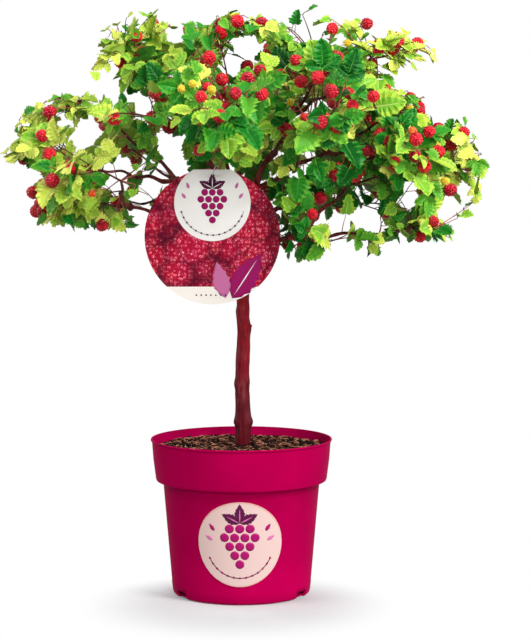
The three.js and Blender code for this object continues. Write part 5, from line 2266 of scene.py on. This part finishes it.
# ---- pot, soil and sticker
@dataclass
class Pot:
    """The round nursery pot with its collar, lip and drainage notches."""

    height: float = 193.0
    rim_radius: float = 112.5
    collar_height: float = 50.0
    collar_foot: float = 106.2
    body_top: float = 96.9
    body_top_height: float = 137.0
    body_foot: float = 85.8
    foot_round: float = 5.0
    wall: float = 2.2
    floor: float = 3.0
    segments: int = 180
    notch_headings: tuple[float, ...] = (90.0, 210.0, 330.0)
    notch_width: float = 24.0
    notch_height: float = 8.5
    notch_corner: float = 4.0
    notch_depth: float = 14.0

    def body_radius(self, height: float) -> float:
        """The body's outside radius at a height."""
        share = (height - self.foot_round) / (self.body_top_height - self.foot_round)
        return mix(self.body_foot, self.body_top, share)

    def build(self) -> None:
        """Makes the pot and cuts its notches."""
        collar = self.height - self.collar_height
        rim, foot = self.rim_radius, self.body_foot
        body, top, shoulder, seam = self.body_radius, self.body_top, self.collar_foot, 15.0
        outside = [
            (0.0, 0.0), (foot - 7.5, 0.0), (foot - 5.0, 0.0), (foot - 2.6, 0.7), (foot - 0.8, 2.2),
            (foot, self.foot_round), (body(seam) + 0.25, seam), (body(seam + 0.6) - 0.05, seam + 0.6),
            (body(60.0), 60.0), (body(100.0), 100.0),
            (top, self.body_top_height), (top + 0.8, self.body_top_height + 1.2),
            (shoulder - 2.2, collar - 2.0), (shoulder - 0.7, collar - 1.2), (shoulder, collar + 0.6),
            (shoulder + 0.25, collar + 2.4), (mix(shoulder, rim, 0.5), mix(collar, self.height, 0.5)),
            (rim - 1.5, self.height - 3.0), (rim - 0.5, self.height - 2.5), (rim, self.height - 1.7),
            (rim, self.height - 0.8), (rim - 0.4, self.height - 0.1), (rim - 1.1, self.height),
        ]
        rim, foot = rim - self.wall, foot - self.wall
        inside = [
            (rim, self.height - 0.35), (rim - 0.3, self.height - 1.4),
            (shoulder - self.wall, collar + 3.0), (top - self.wall, self.body_top_height + 2.0),
            (foot, self.foot_round + self.floor), (foot - 3.0, self.floor), (0.0, self.floor),
        ]
        draft = Draft()
        draft.add(*lathe([*outside, *inside], self.segments))
        pot = draft.piece("pot_shell", [POT_PLASTIC], 32.0)
        for heading in self.notch_headings:
            self._cut_notch(pot, heading)
        settle(pot, "pot", "pot")

    def _cut_notch(self, pot: Object, heading: float) -> None:
        """Cuts one notch with rounded top corners through the foot of the wall.

        Args:
            pot: The pot, which is cut.
            heading: The notch's heading in degrees.
        """
        half, corner = self.notch_width / 2, self.notch_corner
        outline = [(-half, -2.0), (half, -2.0)]
        for middle, start in ((half - corner, 0.0), (corner - half, 90.0)):
            for turn in np.radians(start + 15 * np.arange(7)):
                outline.append((middle + corner * cos(turn), self.notch_height - corner + corner * sin(turn)))
        way, side = direction(heading, 0.0), direction(heading + 90.0, 0.0)
        near, far = self.body_foot - 0.6 * self.notch_depth, self.body_foot + 0.4 * self.notch_depth
        ends = [np.array([way * reach + side * a + UP * up for a, up in outline]) for reach in (near, far)]
        cutter = Draft()
        cutter.add(*capped(ends))
        cut_away(pot, cutter.piece("notch_cutter", [POT_PLASTIC]))


def cut_away(piece: Object, cutter: Object) -> None:
    """Cuts a solid out of a piece, applies the cut and removes the cutter.

    Args:
        piece: The piece that is cut.
        cutter: The solid, which goes.
    """
    modifier = piece.modifiers.new("cut", "BOOLEAN")
    modifier.operation = "DIFFERENCE"
    modifier.solver = "EXACT"
    modifier.object = cutter
    bpy.context.view_layer.update()
    cut = bpy.data.meshes.new_from_object(piece.evaluated_get(bpy.context.evaluated_depsgraph_get()))
    piece.modifiers.clear()
    piece.data = cut
    bpy.data.objects.remove(cutter)


@dataclass
class Soil:
    """The peat in the pot, with crumbs and fibres on it."""

    top: float = 185.0
    edge: float = 108.2
    edge_drop: float = 2.0
    bottom: float = 150.0
    rings: int = 62
    segments: int = 170
    crumbs: int = 1300
    fibres: int = 600

    def surface(self, x: float, y: float) -> float:
        """The peat's height at a place.

        Args:
            x: How far across it is.
            y: How far back it is.

        Returns:
            The height.
        """
        reach = hypot(x, y)
        waves = ((2.2, 0.035, 1.0), (1.3, 0.11, 5.0), (0.75, 0.34, 9.0), (0.45, 0.8, 3.0))
        lumps = sum(
            height * noise.noise(Vector((x * scale, y * scale, seed))) for height, scale, seed in waves
        )
        mound = 1.6 * exp(-((reach - 12.0) / 16.0) ** 2)
        return self.top - 1.3 + mound - self.edge_drop * (reach / self.edge) ** 3 + lumps

    def build(self) -> None:
        """Makes the peat, its crumbs and its fibres."""
        turns = round_the_clock(self.segments)
        rings = []
        for ring in range(self.rings, 0, -1):
            reach = self.edge * (ring / self.rings) ** 0.85
            around = [(reach * cos(turn), reach * sin(turn)) for turn in turns]
            rings.append(np.array([(x, y, self.surface(x, y)) for x, y in around]))
        shrink = 100.0 / self.edge
        below = rings[0] * (shrink, shrink, 0.0) + UP * self.bottom
        bed = Draft()
        bed.add(*domed([below, *rings], UP * self.bottom, UP * self.surface(0.0, 0.0)))
        settle(bed.piece("peat_bed", [PEAT]), "soil", "potting_soil")
        self._strew()

    def _place(self, draw: Draw) -> tuple[float, float]:
        """A place on the peat, off the trunk.

        Args:
            draw: The random draws.

        Returns:
            How far across and how far back it is.
        """
        reach = mix(11.0, self.edge - 3.0, sqrt(draw()))
        turn = draw.between(0.0, 2 * pi)
        return reach * cos(turn), reach * sin(turn)

    def _strew(self) -> None:
        """Lays crumbs and fibres on the peat."""
        draw, litter = Draw(77), Draft()
        golden = (1 + sqrt(5)) / 2
        pairs = [(a, b) for b in (golden, -golden) for a in (-1, 1)]
        corners = [(a, b, 0) for a, b in pairs] + [(0, a, b) for a, b in pairs]
        corners += [(b, 0, a) for a, b in pairs]
        lump, lump_faces = np.array(corners) / 1.902, self._lump_faces()
        for _ in range(self.crumbs):
            x, y = self._place(draw)
            size = mix(0.7, 3.1, draw() ** 2.2)
            wobble = np.array([[draw.between(0.65, 1.25)] for _ in lump])
            scale = vec(draw.between(0.8, 1.4), draw.between(0.8, 1.4), 0.75)
            place = vec(x, y, self.surface(x, y) + 0.25 * size)
            litter.add(place + lump * wobble * scale * size, lump_faces, 0 if draw() < 0.76 else 1)
        for _ in range(self.fibres):
            x, y = self._place(draw)
            turn, length = draw.between(0.0, 2 * pi), draw.between(5.0, 16.0)
            bend = draw.between(-2.5, 2.5)
            path = []
            for share in np.linspace(-0.5, 0.5, 5):
                far, aside = length * share, bend * cos(pi * share)
                place = vec(x + far * cos(turn) - aside * sin(turn), y + far * sin(turn) + aside * cos(turn))
                place *= min(1.0, (self.edge - 2) / hypot(*place))
                path.append((*place, self.surface(*place) + 0.5 + 1.2 * cos(pi * share) * draw()))
            litter.add(*tube(np.array(path), (0.12, 0.26, 0.3, 0.25, 0.1), 3), 2)
        settle(litter.piece("peat_litter", [PEAT, CRUMB, FIBRE], 40.0), "soil")

    @staticmethod
    def _lump_faces() -> list[Face]:
        """The faces of a crumb of twenty sides.

        Returns:
            The faces.
        """
        return [
            (0, 11, 5), (0, 5, 1), (0, 1, 7), (0, 7, 10), (0, 10, 11), (1, 5, 9), (5, 11, 4), (11, 10, 2),
            (10, 7, 6), (7, 1, 8), (3, 9, 4), (3, 4, 2), (3, 2, 6), (3, 6, 8), (3, 8, 9), (4, 9, 5),
            (2, 4, 11), (6, 2, 10), (8, 6, 7), (9, 8, 1),
        ]


# ---- label and sticker
MAGENTA_INK = PlainFinish("magenta_ink", tone(160, 0, 96), 0.38)
DARK_INK = PlainFinish("dark_ink", tone(84, 8, 60), 0.4)
ROSE_INK = PlainFinish("rose_ink", tone(206, 112, 164), 0.4)
GREY_INK = PlainFinish("grey_ink", tone(150, 142, 144), 0.45)
CREAM_INK = PlainFinish("cream_ink", tone(246, 236, 220), 0.42)
WHITE_INK = PlainFinish("white_ink", tone(250, 246, 244), 0.42)
INKS = (MAGENTA_INK, DARK_INK, ROSE_INK, GREY_INK, CREAM_INK, WHITE_INK)
MAGENTA, DARK_ONE, ROSE, GREY, CREAM, WHITE = range(6)


def upright(x: float, z: float, lift: float) -> Point:
    """Where a place across and up lies on a card that faces the front, at a lift towards it."""
    return vec(x, -lift, z)


@dataclass
class Motif:
    """A plain printed sprig: a round cluster of dots under three leaves."""

    x: float
    z: float
    size: float
    lay: Callable[[float, float, float], Point]
    low: float = -0.05
    high: float = 0.05

    def put(self, draft: Draft, outline: Points, ink: int, rings: int = 3, lift: float = 0.0) -> None:
        """Prints one shape."""
        draft.add(*plate(outline, self.lay, self.low, self.high + lift, rings), ink)

    def cluster(self, draft: Draft, ink: int) -> None:
        """Prints the round cluster, widest in its second row.

        Args:
            draft: What it is added to.
            ink: The ink's number.
        """
        step = 0.23 * self.size
        for row, count in enumerate((3, 4, 3, 2, 1)):
            for k in range(count):
                x = self.x + (k - (count - 1) / 2) * step * 1.02
                z = self.z + 0.3 * self.size - row * step * 0.92
                self.put(draft, circle(x, z, 0.46 * step, 24), ink, 2)

    def leaves(self, draft: Draft, ink: int, vein: int) -> None:
        """Prints the three leaves with a plain vein in each.

        Args:
            draft: What it is added to.
            ink: The ink's number.
            vein: The ink of the veins.
        """
        for lean in (-62, 0, 62):
            foot = self.z + 0.43 * self.size
            self.put(draft, leaf_outline(self.x, foot, 0.46 * self.size, 0.26 * self.size, lean), ink)
            line = leaf_outline(self.x, foot, 0.34 * self.size, 0.03 * self.size, lean, 1)
            self.put(draft, line, vein, 3, 0.03)

    def sprigs(self, draft: Draft, size: float, places: Iterable[tuple[float, float, int]]) -> None:
        """Prints small leaves round the cluster: the angle, the lean and the ink of each.

        Args:
            draft: What it is added to.
            size: Their length.
            places: The angle, the lean and the ink of each.
        """
        for angle, lean, ink in places:
            x, z = self.x + 33.0 * cos(radians(angle)), self.z + 33.0 * sin(radians(angle))
            self.put(draft, leaf_outline(x, z, size, 0.5 * size, lean, 3), ink, 2)

    def arc(
        self, draft: Draft, drop: float, reach: float, angles: Points, every: int,
        sizes: tuple[float, float], inks: tuple[int, int],
    ) -> None:
        """Prints an arc of dots under the cluster, of which every so many is a larger bead.

        Args:
            draft: What it is added to.
            drop: How far its middle is under the cluster's.
            reach: Its radius.
            angles: The dots' angles, in degrees.
            every: How many dots there are from bead to bead.
            sizes: The radii of a dot and of a bead.
            inks: Their inks.
        """
        for k, turn in enumerate(np.radians(angles)):
            bead = 0 if k % every else 1
            x, z = self.x + reach * cos(turn), self.z - drop + reach * sin(turn)
            self.put(draft, circle(x, z, sizes[bead], 10), inks[bead], 1)


@dataclass
class Label:
    """The hanging label: a round printed card, a smaller white disc on it, and its tie."""

    x: float = -35.3
    height: float = 443.6
    radius: float = 83.4
    back: float = -8.3
    thickness: float = 0.8
    disc_radius: float = 46.9
    disc_rise: float = 41.3
    disc_top: float = 82.2
    disc_thickness: float = 0.6
    gap: float = 0.3
    hole_x: float = -34.8
    hole_height: float = 518.5
    hole_radius: float = 2.35
    foot_height: float = 382.0

    def build(self, wood: Wood) -> None:
        """Makes the card, the disc, their print and the tie.

        Args:
            wood: The trunk and the boughs.
        """
        card_front = self.back - self.thickness
        disc_back = card_front - self.gap
        disc_front = disc_back - self.disc_thickness
        card_print = FruitPrintFinish(
            "card_print", ground=tone(84, 2, 34), deep=tone(184, 10, 52), dusky=tone(226, 52, 106),
            ripe=tone(255, 66, 94), shine=tone(255, 232, 234), foot=tone(252, 244, 236),
            foot_height=self.foot_height,
        )
        outline = circle(self.x, self.height, self.radius, 160)
        card = self._sheet("card_sheet", outline, card_front, self.back, card_print)
        settle(card, "label_card", "label_card")
        start = asin((self.disc_top - self.disc_rise) / self.disc_radius)
        middle = self.height + self.disc_rise
        turns = np.linspace(pi - start, 2 * pi + start, 110)
        outline = self.disc_radius * np.column_stack((np.cos(turns), np.sin(turns))) + vec(self.x, middle)
        white = CardFinish("white_card", tone(253, 248, 245), tone(238, 232, 228))
        settle(self._sheet("disc_sheet", outline, disc_front, disc_back, white), "label_disc", "label_disc")
        self._print_disc(disc_front, middle)
        self._print_card(card_front)
        self._hang(wood, disc_front)

    def _sheet(self, name: str, outline: Points, front: float, back: float, finish: object) -> Object:
        """A flat sheet with the label's hole.

        Args:
            name: Its name.
            outline: Its outline, across and up.
            front: How far back its front lies.
            back: How far back its back lies.
            finish: The finish.

        Returns:
            The sheet.
        """
        draft, cutter = Draft(), Draft()
        draft.add(*plate(outline, upright, -back, -front, 10))
        sheet = draft.piece(name, [finish], 40.0)
        hole = circle(self.hole_x, self.hole_height, self.hole_radius, 32)
        cutter.add(*plate(hole, upright, -back - 4.0, -front + 4.0, 1))
        cut_away(sheet, cutter.piece("hole_cutter", [finish]))
        return sheet

    def _print_disc(self, front: float, middle: float) -> None:
        """Prints the white disc: a cluster of dots with leaves over a thin arc, and small sprigs round it.

        Args:
            front: How far back its front lies.
            middle: The height of the disc's middle.
        """
        draft = Draft()
        motif = Motif(self.x, middle + 1.0, 40.0, upright, -front - 0.05, -front + 0.05)
        motif.cluster(draft, MAGENTA)
        motif.leaves(draft, DARK_ONE, WHITE)
        motif.arc(draft, 1.0, 39.5, np.linspace(196, 344, 56), 4, (0.75, 1.25), (GREY, DARK_ONE))
        motif.sprigs(draft, 8.5, ((172, -38, ROSE), (8, 38, ROSE), (150, -20, ROSE), (30, 20, ROSE)))
        settle(draft.piece("disc_print", INKS), "label_disc")

    def _print_card(self, front: float) -> None:
        """Prints a leaf and a row of dots over the card's foot.

        Args:
            front: How far back its front lies.
        """
        draft = Draft()
        motif = Motif(self.x, self.height, 30.0, upright, -front - 0.05, -front + 0.05)
        motif.put(draft, leaf_outline(self.x + 24.0, 367.5, 66.0, 34.0, 33, 6), MAGENTA, 5)
        motif.put(draft, leaf_outline(self.x + 26.0, 371.0, 54.0, 1.5, 33, 1), WHITE, 3, 0.03)
        motif.put(draft, leaf_outline(self.x + 16.0, 368.0, 46.0, 23.0, -14, 5), ROSE, 4, -0.02)
        for k in range(7):
            motif.put(draft, circle(self.x - 20.0 + 6.0 * k, 371.5, 1.1, 12), DARK_ONE, 1)
        settle(draft.piece("card_print_shapes", INKS), "label_card")

    def _by_hole(self, aside: float, y: float, z: float) -> Point:
        """A place beside the hole."""
        return vec(self.hole_x + aside, y, z)

    def _hang(self, wood: Wood, front: float) -> None:
        """Makes the tie through the hole and round the limb behind the card.

        Args:
            wood: The trunk and the boughs.
            front: How far back its front lies.
        """
        path, radius = wood.paths["bough_centre_left"], wood.radii["bough_centre_left"]
        shares = np.linspace(0.0, 1.0, wood.sample_count)
        share = float(np.interp(self.hole_height + 6.0, [float(path.at(s)[2]) for s in shares], shares))
        held, tangent, reach = path.at(share), path.tangent(share), radius(share) + 2.3
        out = unit(vec(tangent[2], 0.0, -tangent[0]))
        sides = ((-1.0, 0.35), (-0.15, 1.1), (0.95, 0.35))
        behind = [held + reach * (out * aside + vec(0.0, back, 0.0)) for aside, back in sides]
        top, hole = self.height + self.radius, self.hole_height
        before = [
            (4.5, self.back + 1.54, top + 3.4), (2.4, front - 1.54, top + 0.6), (0.6, front - 2.2, hole + 3.4)
        ]
        through = [(0.0, (self.back + front) / 2, hole + 0.6), (-0.4, self.back + 2.2, hole - 0.8)]
        ways = [[self._by_hole(*place) for place in places] for places in (through, before)]
        points = Path([*ways[0], *behind, *ways[1]], closed=True).samples(97)[:-1]
        turns, rings = round_the_clock(8), []
        for k, middle in enumerate(points):
            across, up = frame_of(unit(points[(k + 1) % len(points)] - points[k - 1]), vec(0.86, 0.0, 0.5))
            rings.append(middle + 0.68 * (np.outer(np.cos(turns), up) + np.outer(np.sin(turns), across)))
        draft = Draft()
        draft.add(np.vstack(rings), skin(rings, closed=True))
        settle(draft.piece("tie_loop", [TIE_PLASTIC]), "tie", "label_tie")


@dataclass
class Sticker:
    """The round sticker on the pot's front, with a plain print."""

    pot: Pot
    radius: float = 52.5
    height: float = 76.0
    across: float = -2.0
    off_wall: float = 0.4
    thickness: float = 0.5

    def _lay(self, x: float, z: float, lift: float) -> Point:
        """Where a place across and up lies on the pot's wall, at a lift off it.

        Args:
            x: How far across it is.
            z: How high it is.
            lift: The lift off it.

        Returns:
            The place.
        """
        heading = x / self.pot.body_radius(self.height)
        reach = self.pot.body_radius(z) + lift
        return vec(sin(heading) * reach, -cos(heading) * reach, z)

    def build(self) -> None:
        """Makes the sticker and its print."""
        paper = PaperFinish(
            "sticker_paper", tone(216, 186, 180), tone(180, 132, 128), tone(212, 156, 150),
            (self.across, 0.0, self.height), self.radius,
        )
        draft, inked, top = Draft(), Draft(), self.off_wall + self.thickness
        outline = circle(self.across, self.height, self.radius, 120)
        draft.add(*plate(outline, self._lay, self.off_wall - 0.3, top, 14))
        settle(draft.piece("sticker_paper_disc", [paper], 40.0), "sticker", "pot_sticker")
        motif = Motif(self.across, self.height + 4.0, 52.0, self._lay, top - 0.05, top + 0.05)
        motif.cluster(inked, MAGENTA)
        motif.leaves(inked, DARK_ONE, ROSE)
        motif.arc(inked, 4.0, 41.5, np.linspace(205, 335, 61), 5, (0.8, 1.5), (DARK_ONE, MAGENTA))
        motif.sprigs(inked, 11.0, ((178, -60, ROSE), (2, 60, ROSE), (158, -35, MAGENTA), (22, 35, MAGENTA)))
        settle(inked.piece("sticker_print", INKS), "sticker")


# ---- studio
@dataclass
class Studio:
    """The pale floor, the soft lights and the camera."""

    camera_place: tuple[float, float, float] = (0.0, -2.6, 0.552)
    aim: tuple[float, float, float] = (0.030, 0.0, 0.340)
    lens: float = 118.6
    room: float = 16.0
    ambient: float = 0.4
    # Where the floor's painted shadow is centred, in millimetres, and the reach in metres over which it fades
    # out.
    shade_place: tuple[float, float, float] = (-5.0, -85.0, 0.0)
    shade_reach: tuple[float, float] = (0.075, 0.2)
    lights: tuple[tuple, ...] = (
        ("key_light", (1.6, -1.5, 2.0), 1.0, 72.0, (1.0, 0.99, 0.97)),
        ("front_light", (0.8, -2.8, 0.85), 1.0, 46.0, (1.0, 1.0, 1.0)),
        ("left_high", (-1.4, -0.7, 1.9), 0.9, 16.0, (1.0, 0.99, 0.95)),
        ("back_left", (-1.7, 1.0, 1.1), 0.8, 8.0, (1.0, 1.0, 1.0)),
    )

    def build(self) -> None:
        """Makes the studio."""
        self._make_floor()
        self._make_world()
        for name, place, size, power, colour in self.lights:
            lamp = bpy.data.lights.new(name, "AREA")
            lamp.shape, lamp.size, lamp.energy, lamp.color = "DISK", size, power, colour
            shining = self._aim(bpy.data.objects.new(name, lamp), place, (0.0, 0.0, 0.38))
            shining.visible_glossy = name != "front_light"
        camera = bpy.data.cameras.new("camera")
        camera.lens, camera.sensor_width, camera.clip_end = self.lens, 36.0, 100.0
        seen = self._aim(bpy.data.objects.new("camera", camera), self.camera_place, self.aim)
        bpy.context.scene.camera = seen
        bpy.context.scene.view_settings.view_transform = "Standard"

    @staticmethod
    def _aim(made: Object, place: tuple, target: tuple) -> Object:
        """Puts an object at a place, looking at a target.

        Args:
            made: The object.
            place: The place.
            target: What it looks at.

        Returns:
            The same object.
        """
        bpy.context.scene.collection.objects.link(made)
        made.location = place
        made.rotation_euler = (Vector(target) - Vector(place)).to_track_quat("-Z", "Y").to_euler()
        return made

    def _make_floor(self) -> None:
        """A white floor with a painted bluish-grey shadow round the pot's foot, under a white dome that only
        the camera sees.
        """
        black, white = (0.0, 0.0, 0.0), (1.0, 1.0, 1.0)
        shader = Shader("floor_white")
        # Painted shadow: a grey base colour and no glow round the foot, and an even white glow farther out.
        out = shader.away(shader.place(), self.shade_place).rise(*self.shade_reach)
        floor_material = shader.finish(
            Base_Color=shader.blend(out, (0.58, 0.59, 0.61), black), Roughness=0.9, Specular_IOR_Level=0.0,
            Emission_Color=shader.blend(out, black, white), Emission_Strength=1.0,
        )
        turns = round_the_clock(64)
        ring = np.column_stack((np.cos(turns), np.sin(turns), np.zeros(64)))
        floor = self._stage("floor", ring * self.room, [tuple(range(64))], floor_material)
        floor.visible_diffuse = floor.visible_glossy = False
        dome_material = Shader("dome_white").finish(
            Base_Color=black, Specular_IOR_Level=0.0, Emission_Color=white, Emission_Strength=1.0
        )
        rises = np.linspace(0.0, 0.5 * pi - 0.02, 12)
        rings = [(ring * cos(rise) + UP * sin(rise)) * self.room for rise in rises]
        crown = tuple(range(64 * 11, 64 * 12))
        dome = self._stage("dome", np.vstack(rings), [*skin(rings), crown], dome_material)
        dome.visible_diffuse = dome.visible_glossy = dome.visible_shadow = False

    @staticmethod
    def _stage(name: str, points: Points, faces: list[Face], material: Material) -> Object:
        """Makes a piece of the studio.

        Args:
            name: Its name.
            points: The points.
            faces: The faces.
            material: The material.

        Returns:
            The piece.
        """
        mesh = bpy.data.meshes.new(name)
        mesh.from_pydata(points.tolist(), [], faces)
        mesh.materials.append(material)
        made = bpy.data.objects.new(name, mesh)
        bpy.context.scene.collection.objects.link(made)
        return made

    def _make_world(self) -> None:
        """An even pale light from all round."""
        world = bpy.data.worlds.new("pale")
        world.use_nodes = True
        background = world.node_tree.nodes["Background"]
        background.inputs["Color"].default_value = (1.0, 1.0, 1.0, 1.0)
        background.inputs["Strength"].default_value = self.ambient
        bpy.context.scene.world = world


def main() -> None:
    """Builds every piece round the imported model."""
    logging.basicConfig(level=logging.INFO, format="%(name)s: %(message)s")
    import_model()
    Studio().build()
    pot = Pot()
    pot.build()
    Soil().build()
    Sticker(pot).build()
    wood = Wood()
    wood.grow()
    wood.dress()
    Label().build(wood)
    Crown(wood).build()


if __name__ == "__main__":
    main()
